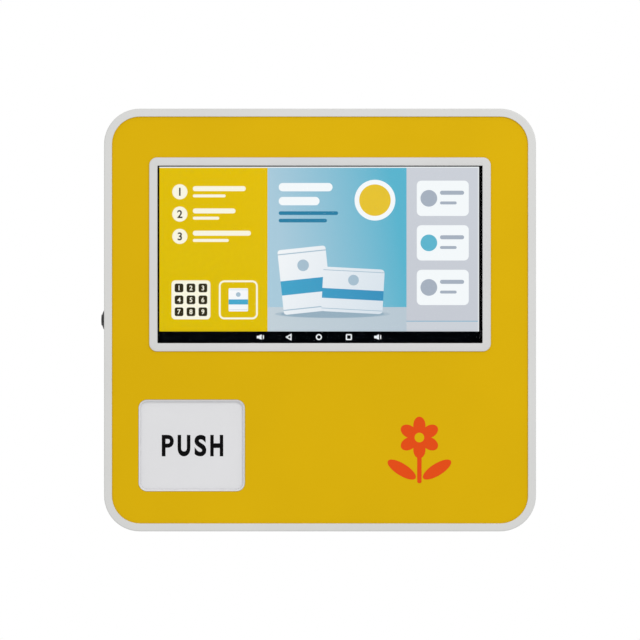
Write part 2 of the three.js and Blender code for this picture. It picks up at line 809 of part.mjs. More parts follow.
// The return spring: turns round the pin, one leg under the tunnel roof and one on the flap
class SpringPath extends THREE.Curve {
  getPoint(t, target = new THREE.Vector3()) {
    const coilR = FLAP_PIN_R + FIT_GAP + SPRING_WIRE_R;
    const turnLength = Math.hypot(2 * Math.PI * coilR, SPRING_PITCH);
    const turns = SPRING_TURNS + 1 / 4;
    const wound = turns * turnLength;
    const s = t * (wound + 2 * SPRING_LEG) - SPRING_LEG;
    const along = Math.min(Math.max(s, 0), wound) / turnLength;
    const angle = Math.PI / 2 + along * 2 * Math.PI;
    const x = LIP_X + (along - turns / 2) * SPRING_PITCH;
    const back = Math.max(-s, 0);
    const down = Math.max(s - wound, 0);
    const y = coilR * Math.cos(angle) + back;
    const z = coilR * Math.sin(angle) - down;
    return target.set(x, FLAP_PIN_Y + y, FLAP_PIN_Z + z);
  }
}

// A round wire or lead swept along a curve
function swept(curve, radius, sides, steps) {
  const section = new THREE.Shape();
  for (let i = 0; i < sides; i++) {
    const a = (2 * Math.PI * i) / sides;
    if (i === 0) section.moveTo(radius, 0);
    else section.lineTo(radius * Math.cos(a), radius * Math.sin(a));
  }
  section.closePath();
  return new THREE.ExtrudeGeometry(section, { steps, extrudePath: curve, bevelEnabled: false });
}

function flapSpring() {
  const steps = SPRING_STEPS * (SPRING_TURNS + 2);
  return solid(swept(new SpringPath(), SPRING_WIRE_R, WIRE_ROUND, steps));
}

// The keeper: a loop on the door that the lock cam reaches up through, on a foot on the panel
const CAM_X0 = LEFT + BARREL_L + PLUG_TAIL - CAM_T;
const CAM_X1 = CAM_X0 + CAM_T;

function lockKeeper() {
  const z0 = KEEPER_LIFT;
  const z1 = KEEPER_LIFT + KEEPER_T;
  const inX0 = CAM_X0 - KEEPER_SIDE_GAP;
  const inX1 = CAM_X1 + KEEPER_SIDE_GAP;
  const x0 = inX0 - KEEPER_RAIL;
  const x1 = inX1 + KEEPER_RAIL;
  const footY = PANEL_REAR_Y + FIT_GAP;
  const windowBack = -LOCK_DEPTH + CAM_HALF_W + KEEPER_BACK_GAP;
  const sweep = Math.hypot(CAM_REACH, CAM_HALF_W);
  const windowFront = -LOCK_DEPTH - sweep;
  const plate = block(x0, x1, footY, windowBack + KEEPER_RAIL, z0, z1);
  const window = block(inX0, inX1, windowFront, windowBack, z0 - OVERRUN, z1 + OVERRUN);
  const foot = block(x0, x1, footY, footY + KEEPER_T, z0, z0 + KEEPER_FOOT_H);
  return cut(join(plate, foot), window);
}

// One leaf of a hinge at height zero. knuckles: list of [z0, z1] that this leaf carries.
// dir is 1 for the leaf that runs back into the case, -1 for the one that runs into the door.
function hingeLeaf(knuckles, others, dir) {
  const half = HINGE_H / 2;
  const leafX = RIGHT - SHEET - FIT_GAP - LEAF_T;
  let leaf = block(leafX, leafX + LEAF_T, DOOR_REAR_Y, DOOR_REAR_Y + dir * LEAF_L, -half, half);
  const clearR = KNUCKLE_R + KNUCKLE_GAP;
  for (const [z0, z1] of others) {
    const room = rod(clearR, z0 - KNUCKLE_GAP, z1 + KNUCKLE_GAP, "z", [HINGE_X, DOOR_REAR_Y, 0]);
    leaf = cut(leaf, room);
  }
  for (const [z0, z1] of knuckles) {
    leaf = join(leaf, rod(KNUCKLE_R, z0, z1, "z", [HINGE_X, DOOR_REAR_Y, 0], SMALL_ROUND));
  }
  const bore = rod(
    HINGE_PIN_R + FIT_GAP,
    -half - OVERRUN,
    half + OVERRUN,
    "z",
    [HINGE_X, DOOR_REAR_Y, 0],
    SMALL_ROUND,
  );
  return cut(leaf, bore);
}

function hingePin() {
  const half = HINGE_H / 2;
  return turned(
    [
      [HINGE_PIN_R, -half],
      [HINGE_PIN_R, half + FIT_GAP],
      [KNUCKLE_R - FIT_GAP, half + FIT_GAP],
      [KNUCKLE_R - FIT_GAP, half + HINGE_PIN_R],
    ],
    "z",
    [HINGE_X, DOOR_REAR_Y, 0],
    SMALL_ROUND,
  );
}

const knuckleL = (HINGE_H - 2 * KNUCKLE_GAP) / 3;
const lowKnuckle = [-HINGE_H / 2, -HINGE_H / 2 + knuckleL];
const midKnuckle = [-knuckleL / 2, knuckleL / 2];
const topKnuckle = [HINGE_H / 2 - knuckleL, HINGE_H / 2];

// The lock in the left wall: a domed head and a barrel, bored for the plug
function lockBody() {
  const face = LEFT - FIT_GAP;
  const sag = LOCK_DOME_R - Math.sqrt(LOCK_DOME_R ** 2 - LOCK_HEAD_R ** 2);
  const edge = face - (LOCK_HEAD_H - sag);
  const centre = edge - sag + LOCK_DOME_R;
  const dome = [];
  const steps = CORNER_STEPS;
  for (let i = 1; i <= steps; i++) {
    const r = (LOCK_HEAD_R * i) / steps;
    dome.push([r, centre - Math.sqrt(LOCK_DOME_R ** 2 - r ** 2)]);
  }
  const profile = [
    [LOCK_HEAD_R / steps / 2, edge - sag],
    ...dome,
    [LOCK_HEAD_R, face],
    [BARREL_R, face],
    [BARREL_R, LEFT + BARREL_L],
  ];
  const at = [0, -LOCK_DEPTH, 0];
  const bore = rod(PLUG_R + PLUG_GAP, edge - sag - OVERRUN, LEFT + BARREL_L + OVERRUN, "x", at);
  return cut(turned(profile, "x", at), bore);
}

// The plug turns in the barrel; its outer end has the key slot
function lockPlug() {
  const at = [0, -LOCK_DEPTH, 0];
  const outer = LEFT - FIT_GAP - LOCK_HEAD_H + PLUG_GAP;
  const inner = CAM_X0 - PLUG_GAP;
  const plug = rod(PLUG_R, outer, inner, "x", at);
  const slot = block(
    outer - OVERRUN,
    outer + KEY_SLOT_D,
    -LOCK_DEPTH - KEY_SLOT_W / 2,
    -LOCK_DEPTH + KEY_SLOT_W / 2,
    -KEY_SLOT_H / 2,
    KEY_SLOT_H / 2,
  );
  const square = PLUG_R / 2;
  const tail = block(
    inner - PLUG_GAP,
    CAM_X1 + CAM_T,
    -LOCK_DEPTH - square,
    -LOCK_DEPTH + square,
    -square,
    square,
  );
  return join(cut(plug, slot), tail);
}

// The cam points at the door when the lock is open
function lockCam() {
  const side = outline([
    [-LOCK_DEPTH + CAM_HALF_W, -CAM_HALF_W],
    [-LOCK_DEPTH + CAM_HALF_W, CAM_HALF_W],
    [-LOCK_DEPTH - CAM_REACH, CAM_HALF_W],
    [-LOCK_DEPTH - CAM_REACH, -CAM_HALF_W],
  ]);
  const square = PLUG_R / 2 + PLUG_GAP;
  const hole = block(
    CAM_X0 - OVERRUN,
    CAM_X1 + OVERRUN,
    -LOCK_DEPTH - square,
    -LOCK_DEPTH + square,
    -square,
    square,
  );
  return cut(slabX(side, CAM_X0, CAM_X1), hole);
}

function lockNut() {
  const start = LEFT + SHEET + FIT_GAP;
  const at = [0, -LOCK_DEPTH, 0];
  const hex = rod(NUT_R, start, start + NUT_T, "x", at, TINY_ROUND);
  return cut(hex, rod(BARREL_R + FIT_GAP, start - OVERRUN, start + NUT_T + OVERRUN, "x", at));
}

// The delivery bin takes its width from the flap's tunnel
const BIN_IN_W = TUNNEL_IN_W + 2 * BIN_SIDE_GAP;
const BIN_X0 = LIP_X - BIN_IN_W / 2;
const BIN_X1 = LIP_X + BIN_IN_W / 2;
const BIN_FRONT_Y = TUNNEL_REAR_Y + BIN_MOUTH_GAP;
const BIN_TOP_Z = TUNNEL_TOP_Z + BIN_TOP_RISE;
const BIN_FLOOR_Z = TUNNEL_LOW_Z + BIN_SILL;
const SENSOR_Z = BIN_TOP_Z - SENSOR_DROP;
const SHAFT_TOP_Z = TOP - SHAFT_TOP;

// The lanes fill the room above and beside the bin; a pack stands on edge, its length across the depth
const LOWER_LANE_Z = BIN_TOP_Z + LANE_RISE;
const LANE_PITCH = (TOP - LANE_TOP_GAP - LOWER_LANE_Z) / LANE_COUNT;
const UPPER_LANE_Z = LOWER_LANE_Z + LANE_PITCH;
const LANE_X0 = BIN_X1 + SHEET + LANE_SIDE_GAP;
const LANE_X1 = RIGHT - LANE_END_ROOM;
const LANE_Y0 = -(SHEET + LANE_REAR_GAP);
const LANE_Y1 = LANE_FRONT_GAP - CASE_D;
const LANE_MID_Y = (LANE_Y0 + LANE_Y1) / 2;
const PACK_L = LANE_Y0 - LANE_Y1 - 2 * SHEET - 2 * PACK_GAP;
const PACK_H = LANE_PITCH - TRAY_SKIRT_H - PACK_TOP_GAP;
const PUSHER_W = PACK_L - 2 * PUSHER_SIDE_GAP;
const PUSHER_H = PACK_H - PUSHER_SHORT;
const SLOT_X0 = LANE_X0 + SLOT_END;
const SLOT_X1 = LANE_X1 - SLOT_END;

// The power supply fills the room between the bin and the board; the sockets sit below it
const BOARD_X = RIGHT - BOARD_SIDE - BOARD_W / 2;
const BOARD_Z = BOTTOM + BOARD_FOOT + BOARD_H / 2;
const SUPPLY_X0 = LANE_X0 + SUPPLY_SIDE;
const SUPPLY_X1 = BOARD_X - BOARD_W / 2 - SUPPLY_GAP;
const SUPPLY_W = SUPPLY_X1 - SUPPLY_X0;
const SUPPLY_Z0 = BOTTOM + SUPPLY_FOOT;
const SUPPLY_Z1 = SUPPLY_Z0 + SUPPLY_H;
const INLET_X = SUPPLY_X0 + INLET_SIDE + INLET_W / 2;
const SPEAKER_X = (INLET_X + INLET_W / 2 + RIGHT - SPEAKER_SIDE) / 2;
const SWITCH_X = INLET_X - SWITCH_SHIFT;
const COUPLER_X1 = LANE_X1 + HOME_GAP;
const COUPLER_X0 = COUPLER_X1 - COUPLER_L;
const PUSHER_HOME_X = COUPLER_X0 - HOME_GAP - PUSHER_FOOT_L;

// The tray: floor, tall rear side, low front lip and a skirt under each side
function laneTray() {
  const skirt = -TRAY_SKIRT_H;
  const rear = block(LANE_X0, LANE_X1, LANE_Y0, LANE_Y0 - SHEET, skirt, TRAY_REAR_H);
  const floor = block(LANE_X0, LANE_X1, LANE_Y0, LANE_Y1, -SHEET, 0);
  const lip = block(LANE_X0, LANE_X1, LANE_Y1 + SHEET, LANE_Y1, skirt, TRAY_LIP_H);
  const slot = block(
    SLOT_X0,
    SLOT_X1,
    LANE_MID_Y - SLOT_W / 2,
    LANE_MID_Y + SLOT_W / 2,
    -SHEET - OVERRUN,
    OVERRUN,
  );
  return cut(join(rear, floor, lip), slot);
}

// The pusher: a face plate, a foot on the floor and a web down through the slot to the nut
function lanePusher() {
  const x = PUSHER_HOME_X;
  const z = PUSHER_LIFT;
  const side = (w) => [LANE_MID_Y - w / 2, LANE_MID_Y + w / 2];
  const gussetShare = 0.6;
  const face = block(x, x + PUSHER_T, ...side(PUSHER_W), z, z + PUSHER_H);
  const foot = block(x, x + PUSHER_FOOT_L, ...side(PUSHER_FOOT_W), z, z + PUSHER_T);
  const gusset = outline([
    [x + PUSHER_T / 2, z + PUSHER_T / 2],
    [x + PUSHER_FOOT_L, z + PUSHER_T / 2],
    [x + PUSHER_T / 2, z + PUSHER_H * gussetShare],
  ]);
  const gussetGeometry = extruded(gusset, PUSHER_T, 1);
  gussetGeometry.rotateX(Math.PI / 2);
  gussetGeometry.translate(0, LANE_MID_Y + PUSHER_T / 2, 0);
  const nutTop = -SCREW_DROP + NUT_BLOCK / 2;
  const web = block(
    x + PUSHER_FOOT_L - NUT_LEN,
    x + PUSHER_FOOT_L,
    ...side(PUSHER_WEB_T),
    nutTop + FIT_GAP,
    z + PUSHER_T / 2,
  );
  return join(face, foot, solid(gussetGeometry), web);
}

function pusherNut() {
  const x1 = PUSHER_HOME_X + PUSHER_FOOT_L;
  const x0 = x1 - NUT_LEN;
  const half = NUT_BLOCK / 2;
  const body = block(x0, x1, LANE_MID_Y - half, LANE_MID_Y + half, -SCREW_DROP - half, -SCREW_DROP + half);
  const at = [0, LANE_MID_Y, -SCREW_DROP];
  return cut(body, rod(SCREW_R + BORE_GAP, x0 - OVERRUN, x1 + OVERRUN, "x", at));
}

function leadScrew() {
  const at = [0, LANE_MID_Y, -SCREW_DROP];
  return rod(SCREW_R, LANE_X0 + FIT_GAP, COUPLER_X0 + COUPLER_L / 2, "x", at);
}

function bearingBlock() {
  const x0 = LANE_X0 + FIT_GAP;
  const x1 = x0 + BEARING_T;
  const half = BEARING_W / 2;
  const top = -SHEET - FIT_GAP;
  const at = [0, LANE_MID_Y, -SCREW_DROP];
  const body = block(x0, x1, LANE_MID_Y - half, LANE_MID_Y + half, -SCREW_DROP - half, top);
  return cut(body, rod(SCREW_R + BORE_GAP, x0 - OVERRUN, x1 + OVERRUN, "x", at));
}

const MOTOR_PLATE_X0 = COUPLER_X1 + FIT_GAP;
const MOTOR_PLATE_X1 = MOTOR_PLATE_X0 + MOTOR_PLATE_T;
const GEARBOX_X0 = MOTOR_PLATE_X1 + FIT_GAP;

// The coupler joins the screw to the drive shaft, which reaches into the gearbox
function coupler() {
  const at = [0, LANE_MID_Y, -SCREW_DROP];
  const shaftEnd = GEARBOX_X0 + MOTOR_SHAFT_L - MOTOR_PLATE_T;
  const body = turned(
    [
      [COUPLER_R, COUPLER_X0],
      [COUPLER_R, COUPLER_X1],
      [MOTOR_SHAFT_R, COUPLER_X1],
      [MOTOR_SHAFT_R, shaftEnd],
    ],
    "x",
    at,
  );
  const depth = COUPLER_X0 + COUPLER_L / 2 + FIT_GAP;
  return cut(body, rod(SCREW_R + BORE_GAP, COUPLER_X0 - OVERRUN, depth, "x", at));
}

function motorBracket() {
  const half = MOTOR_PLATE_W / 2;
  const z0 = -SCREW_DROP - half;
  const z1 = -SCREW_DROP + half;
  const plate = block(MOTOR_PLATE_X0, MOTOR_PLATE_X1, LANE_Y0, LANE_MID_Y - half, z0, z1);
  const foot = block(MOTOR_PLATE_X0, MOTOR_PLATE_X1 + half, LANE_Y0, LANE_Y0 - MOTOR_PLATE_T, z0, z1);
  const at = [0, LANE_MID_Y, -SCREW_DROP];
  const hole = rod(MOTOR_R / 2, MOTOR_PLATE_X0 - OVERRUN, MOTOR_PLATE_X1 + OVERRUN, "x", at);
  return cut(join(plate, foot), hole);
}

function gearMotor() {
  const at = [0, LANE_MID_Y, -SCREW_DROP];
  const x0 = GEARBOX_X0;
  const x1 = x0 + GEARBOX_L;
  const x2 = x1 + MOTOR_L;
  const neckShare = 0.9;
  const neck = MOTOR_R * neckShare;
  const neckEnd = x1 + MOTOR_R - neck;
  const body = turned(
    [
      [GEARBOX_R, x0],
      [GEARBOX_R, x1],
      [neck, x1],
      [neck, neckEnd],
      [MOTOR_R, neckEnd],
      [MOTOR_R, x2],
      [MOTOR_R / 2, x2],
      [MOTOR_R / 2, x2 + MOTOR_SHAFT_R],
    ],
    "x",
    at,
  );
  return cut(body, rod(MOTOR_SHAFT_R + FIT_GAP, x0 - OVERRUN, x0 + MOTOR_SHAFT_L, "x", at));
}

// The liner of the drop shaft: left side, front side and a flange on the back panel
function dropShaft() {
  const z0 = BIN_TOP_Z + FIT_GAP;
  const z1 = SHAFT_TOP_Z;
  const left = block(BIN_X0 - SHEET, BIN_X0, LANE_Y0, LANE_Y1 - SHEET, z0, z1);
  const front = block(BIN_X0 - SHEET, BIN_X1 + SHEET, LANE_Y1, LANE_Y1 - SHEET, z0, z1);
  const flange = block(BIN_X0 - SHAFT_FLANGE, BIN_X0, LANE_Y0, LANE_Y0 - SHEET, z0, z1);
  return join(left, front, flange);
}

// The delivery bin: back, two sides and a floor that slopes down to the flap
function deliveryBin() {
  const outer = outline([
    [LANE_Y0, BIN_TOP_Z],
    [LANE_Y0, BIN_FLOOR_Z + BIN_SLOPE - SHEET],
    [BIN_FRONT_Y, BIN_FLOOR_Z - SHEET],
    [BIN_FRONT_Y, BIN_TOP_Z],
  ]);
  const inner = outline([
    [LANE_Y0 - SHEET, BIN_TOP_Z + OVERRUN],
    [LANE_Y0 - SHEET, BIN_FLOOR_Z + BIN_SLOPE],
    [BIN_FRONT_Y - SHEET, BIN_FLOOR_Z],
    [BIN_FRONT_Y - SHEET, BIN_TOP_Z + OVERRUN],
  ]);
  const shell = slabX(outer, BIN_X0 - SHEET, BIN_X1 + SHEET);
  const eyes = rod(
    SENSOR_EYE_R + FIT_GAP,
    BIN_X0 - SHEET - OVERRUN,
    BIN_X1 + SHEET + OVERRUN,
    "x",
    [0, LANE_MID_Y, SENSOR_Z],
    SMALL_ROUND,
  );
  return cut(shell, slabX(inner, BIN_X0, BIN_X1), eyes);
}

// One half of the light barrier that sees a pack fall; side is -1 left, 1 right
function dropSensor(side) {
  const wall = side < 0 ? BIN_X0 : BIN_X1;
  const face = wall + side * (SHEET + FIT_GAP);
  const body = block(
    face,
    face + side * SENSOR_T,
    LANE_MID_Y - SENSOR_W / 2,
    LANE_MID_Y + SENSOR_W / 2,
    SENSOR_Z - SENSOR_H / 2,
    SENSOR_Z + SENSOR_H / 2,
  );
  const ends = [wall, face + (side * SENSOR_T) / 2].sort((a, b) => a - b);
  return join(
    body,
    rod(SENSOR_EYE_R, ends[0], ends[1], "x", [0, LANE_MID_Y, SENSOR_Z], SMALL_ROUND),
  );
}

// The power supply: a shell with vent slots and a terminal block at its right end
function powerSupply() {
  const x0 = SUPPLY_X0;
  const x1 = SUPPLY_X1;
  const z0 = SUPPLY_Z0;
  const z1 = SUPPLY_Z1;
  const back = -SHEET - FIT_GAP;
  const front = back - SUPPLY_D;
  const terminalShare = 0.11;
  const terminalW = SUPPLY_W * terminalShare;
  const slotPitch = (SUPPLY_W - 2 * terminalW) / (SUPPLY_SLOTS + 1);
  let body = block(x0, x1, back, front, z0, z1);
  body = cut(
    body,
    block(x1 - terminalW, x1 + OVERRUN, back - SUPPLY_D / 2, front - OVERRUN, z0 + SHEET, z1 - SHEET),
  );
  for (let i = 0; i < SUPPLY_SLOTS; i++) {
    const x = x0 + terminalW / 2 + i * slotPitch;
    body = cut(
      body,
      block(
        x,
        x + slotPitch / 3,
        front - OVERRUN,
        front + SUPPLY_SHELL,
        z0 + SUPPLY_H / 6,
        z1 - SUPPLY_H / 6,
      ),
    );
  }
  return body;
}

// The loudspeaker over its slots: a rim, a basket and a magnet
function loudspeaker() {
  const z = BOTTOM + SHEET + FIT_GAP;
  const profileShares = [
    [1, 0],
    [1, 0.15],
    [0.86, 0.2],
    [0.56, 0.6],
    [0.56, 1],
  ];
  const profile = profileShares.map(([r, h]) => [SPEAKER_R * r, z + SPEAKER_H * h]);
  return turned(profile, "z", [SPEAKER_X, SOCKET_Y, 0]);
}

// An open box let into the bottom wall from below, with a flange against the wall
function bottomSocket(x, w, d, h) {
  const y = SOCKET_Y;
  const under = BOTTOM - FIT_GAP;
  const flangeZ = under - INLET_FLANGE_T;
  const body = block(x - w / 2, x + w / 2, y - d / 2, y + d / 2, flangeZ, BOTTOM + h);
  const f = INLET_FLANGE / 2;
  const flange = block(x - w / 2 - f, x + w / 2 + f, y - d / 2 - f, y + d / 2 + f, flangeZ, under);
  const t = INLET_WALL;
  const cavity = block(
    x - w / 2 + t,
    x + w / 2 - t,
    y - d / 2 + t,
    y + d / 2 - t,
    flangeZ - OVERRUN,
    BOTTOM + h - t,
  );
  return cut(join(body, flange), cavity);
}

function powerInlet() {
  let body = bottomSocket(INLET_X, INLET_W, INLET_D, INLET_H);
  for (const i of [-1, 0, 1]) {
    const x = INLET_X + i * INLET_PIN_PITCH;
    const y = SOCKET_Y + INLET_D / 4;
    const blade = block(
      x - INLET_PIN_T / 2,
      x + INLET_PIN_T / 2,
      y - INLET_PIN_W / 2,
      y + INLET_PIN_W / 2,
      BOTTOM,
      BOTTOM + INLET_H - INLET_WALL / 2,
    );
    body = join(body, blade);
  }
  return body;
}

// The lead inside the case from the inlet up to the front of the power supply
function supplyLead() {
  const startZ = BOTTOM + INLET_H + FIT_GAP;
  const endY = -SHEET - FIT_GAP - SUPPLY_D - FIT_GAP;
  const run = endY - SOCKET_Y;
  const routeShares = [
    [0, 0],
    [0, 0.33],
    [0.14, 0.8],
    [0.48, 1],
    [1, 1],
  ];
  const x = INLET_X + LEAD_SHIFT;
  const route = new THREE.CatmullRomCurve3(
    routeShares.map(([a, b]) => new THREE.Vector3(x, SOCKET_Y + run * a, startZ + LEAD_RISE * b)),
  );
  return solid(swept(route, LEAD_R, LEAD_ROUND, LEAD_STEPS));
}

const ROCKER_PIVOT_Z = BOTTOM - FIT_GAP - INLET_FLANGE_T + ROCKER_PIVOT;

function switchHousing() {
  const body = bottomSocket(SWITCH_X, SWITCH_W, SWITCH_D, SWITCH_H);
  const pivot = rod(
    ROCKER_PIN_R + FIT_GAP,
    SWITCH_X - SWITCH_W / 2 + SWITCH_WALL / 4,
    SWITCH_X + SWITCH_W / 2 - SWITCH_WALL / 4,
    "x",
    [0, SOCKET_Y, ROCKER_PIVOT_Z],
    SMALL_ROUND,
  );
  return cut(body, pivot);
}

// The rocker rests tipped to its off side
function switchRocker() {
  const topShare = 0.9;
  const halfD = SWITCH_D / 2 - INLET_WALL - ROCKER_GAP * 2;
  const halfW = SWITCH_W / 2 - INLET_WALL - ROCKER_GAP;
  const side = outline([
    [-halfD, -ROCKER_EDGE],
    [0, -ROCKER_PIVOT],
    [halfD, -ROCKER_EDGE],
    [halfD * topShare, ROCKER_TOP],
    [-halfD * topShare, ROCKER_TOP],
  ]);
  const body = slabX(side, -halfW, halfW);
  const pinHalf = SWITCH_W / 2 - SWITCH_WALL / 2;
  const pin = rod(ROCKER_PIN_R, -pinHalf, pinHalf, "x", [0, 0, 0], SMALL_ROUND);
  return join(body, pin);
}

const white = finish(COLOUR.white, 0.45, 0);
const yellow = finish(COLOUR.yellow, 0.4, 0);
const black = finish(COLOUR.black, 0.35, 0);
const steel = finish(COLOUR.steel, 0.4, 0.9);
const dark = finish(COLOUR.dark, 0.5, 0.2);
const brass = finish(COLOUR.brass, 0.4, 0.9);
const rubber = finish(COLOUR.rubber, 0.85, 0);
const board = finish(COLOUR.green, 0.6, 0);
const clear = finish(COLOUR.glass, 0.1, 0);
const nylon = finish(COLOUR.nylon, 0.5, 0);

// One vending lane as a group: its tray, pusher and drive
function lane(name) {
  const group = new THREE.Group();
  group.add(
    piece(name + "_tray", laneTray(), steel),
    piece(name + "_pusher", lanePusher(), steel),
    piece(name + "_pusher_nut", pusherNut(), nylon),
    piece(name + "_lead_screw", leadScrew(), steel),
    piece(name + "_bearing_block", bearingBlock(), nylon),
    piece(name + "_coupler", coupler(), brass),
    piece(name + "_motor_bracket", motorBracket(), steel),
    piece(name + "_gear_motor", gearMotor(), dark),
  );
  return group;
}

// One door hinge as a group: case leaf, door leaf and pin
function hinge(name) {
  const group = new THREE.Group();
  const caseKnuckles = [lowKnuckle, topKnuckle];
  group.add(
    piece(name + "_case_leaf", hingeLeaf(caseKnuckles, [midKnuckle], 1), steel),
    piece(name + "_door_leaf", hingeLeaf([midKnuckle], caseKnuckles, -1), steel),
    piece(name + "_pin", hingePin(), steel),
  );
  return group;
}

// The rear case and what is fixed in it
const caseGroup = new THREE.Group();
caseGroup.add(
  piece("rear_case", rearCase(), white),
  piece("door_gasket", doorGasket(), rubber),
  piece("drop_shaft", dropShaft(), steel),
  piece("delivery_bin", deliveryBin(), white),
  piece("drop_sensor_emitter", dropSensor(-1), black),
  piece("drop_sensor_receiver", dropSensor(1), black),
  piece("power_supply", powerSupply(), steel),
  piece("loudspeaker", loudspeaker(), dark),
  piece("power_inlet", powerInlet(), black),
  piece("switch_housing", switchHousing(), black),
  piece("supply_lead", supplyLead(), rubber),
  piece("lock_body", lockBody(), black),
  piece("lock_nut", lockNut(), steel),
);

const controlBoard = piece("control_board", circuitBoard(BOARD_W, BOARD_H, -1, [0.3, 0.24]), board);
controlBoard.position.set(BOARD_X, -SHEET - FIT_GAP, BOARD_Z);
caseGroup.add(controlBoard);

const lowerLane = lane("lower");
lowerLane.position.z = LOWER_LANE_Z;
const upperLane = lane("upper");
upperLane.position.z = UPPER_LANE_Z;
caseGroup.add(lowerLane, upperLane);

const lockTurn = new THREE.Group();
lockTurn.add(piece("lock_plug", lockPlug(), steel), piece("lock_cam", lockCam(), steel));
caseGroup.add(lockTurn);

const rocker = piece("switch_rocker", switchRocker(), black);
rocker.position.set(SWITCH_X, SOCKET_Y, ROCKER_PIVOT_Z);
rocker.rotation.x = THREE.MathUtils.degToRad(-ROCKER_TILT_DEG);
caseGroup.add(rocker);

// The door and what it carries
const doorGroup = new THREE.Group();
doorGroup.add(
  piece("door_frame", doorFrame(), white),
  piece("front_panel", frontPanel(), yellow),
  piece("screen_bezel", screenBezel(), white),
  piece("screen_glass", screenGlass(), clear),
  piece("lcd_panel", lcdPanel(), black),
  piece("screen_bracket", screenBracket(), steel),
  piece("flap_frame", flapFrame(), white),
  piece("flap", flap(), white),
  piece("flap_pin", flapPin(), steel),
  piece("flap_spring", flapSpring(), steel),
  piece("lock_keeper", lockKeeper(), steel),
);

const computer = piece("screen_computer", circuitBoard(COMPUTER_W, COMPUTER_H, 1, [0.1, 0.2]), board);
computer.position.set(COMPUTER_X, BRACKET_FRONT_Y + BRACKET_T + FIT_GAP, SCREEN_Z);
doorGroup.add(computer);

earScrewPlaces().forEach(([x, z], i) => {
  const screw = piece("bracket_screw_" + (i + 1), earScrew(), steel);
  screw.position.set(x, 0, z);
  doorGroup.add(screw);
});

const upperHinge = hinge("upper_hinge");
upperHinge.position.z = HINGE_Z;
const lowerHinge = hinge("lower_hinge");
lowerHinge.position.z = -HINGE_Z;

const machine = new THREE.Group();
machine.add(caseGroup, doorGroup, upperHinge, lowerHinge);

export default machine;
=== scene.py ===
"""Visual model of a wall-hung sanitary napkin vending machine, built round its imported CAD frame."""

import logging
import math
from collections.abc import Callable, Iterable, Iterator, Sequence
from contextlib import contextmanager
from dataclasses import dataclass, field
from enum import Enum
from functools import cached_property

import bmesh
import bpy
from bmesh.types import BMEdge, BMesh, BMFace, BMVert
from bpy.types import ID, Material, Mesh, MeshPolygon, Node, NodeSocket, Object
from mathutils import Matrix, Vector


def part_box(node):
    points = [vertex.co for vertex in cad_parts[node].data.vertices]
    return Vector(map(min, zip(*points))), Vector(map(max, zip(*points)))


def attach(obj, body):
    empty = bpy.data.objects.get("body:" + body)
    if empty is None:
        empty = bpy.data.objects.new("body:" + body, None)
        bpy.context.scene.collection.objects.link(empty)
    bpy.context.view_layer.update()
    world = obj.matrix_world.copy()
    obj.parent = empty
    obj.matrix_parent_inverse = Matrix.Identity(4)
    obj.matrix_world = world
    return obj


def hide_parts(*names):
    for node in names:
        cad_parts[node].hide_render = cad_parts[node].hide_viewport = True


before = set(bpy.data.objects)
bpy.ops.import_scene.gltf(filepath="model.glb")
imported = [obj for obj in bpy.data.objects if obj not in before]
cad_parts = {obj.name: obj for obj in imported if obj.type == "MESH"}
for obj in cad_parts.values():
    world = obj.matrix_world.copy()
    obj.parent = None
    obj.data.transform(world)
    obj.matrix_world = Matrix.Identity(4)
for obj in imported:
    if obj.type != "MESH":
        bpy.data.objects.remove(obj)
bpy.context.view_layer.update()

MM = 0.001
MERGE = 2e-6
UPRIGHT = Matrix.Rotation(math.pi / 2, 4, "X")
FORWARD = Vector((0, -1, 0))
UP = Vector((0, 0, 1))
WHITE = (1.0, 1.0, 1.0)
BLACK = (0.0, 0.0, 0.0)
log = logging.getLogger("vending_machine")

Colour = tuple[float, float, float]
Point2 = tuple[float, float]
Point3 = tuple[float, float, float]
Feed = float | Colour | NodeSocket
FaceTest = Callable[[MeshPolygon], bool]


def linear(*channels: int) -> Colour:
    """Return the linear colour of an sRGB colour given as 0 to 255."""
    shares = (channel / 255 for channel in channels)
    return tuple(share / 12.92 if share <= 0.04045 else ((share + 0.055) / 1.055) ** 2.4 for share in shares)


def toned(colour: Colour, factor: float) -> Colour:
    """Return a colour made darker or paler, up to white."""
    return tuple(min(1.0, channel * factor) for channel in colour)


def centre_of(node: str) -> Vector:
    """Return the middle of a CAD node's box."""
    low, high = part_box(node)
    return (low + high) / 2


class Axis(Enum):
    """An axis that a round piece turns about: the turn that takes +Z to it, in degrees."""

    X = ("Y", 90)
    Y = ("X", -90)
    Z = ("Z", 0)

    @property
    def turn(self) -> Matrix:
        """Return the matrix that takes a shape modelled about +Z to this axis."""
        about, angle = self.value
        return Matrix.Rotation(math.radians(angle), 4, about)


class Grain(Enum):
    """The way a metal sheet was brushed or rolled."""

    ACROSS = (1.0, 40.0, 40.0)
    ALONG_Z = (40.0, 40.0, 1.0)
    ROUND = (6.0, 6.0, 6.0)


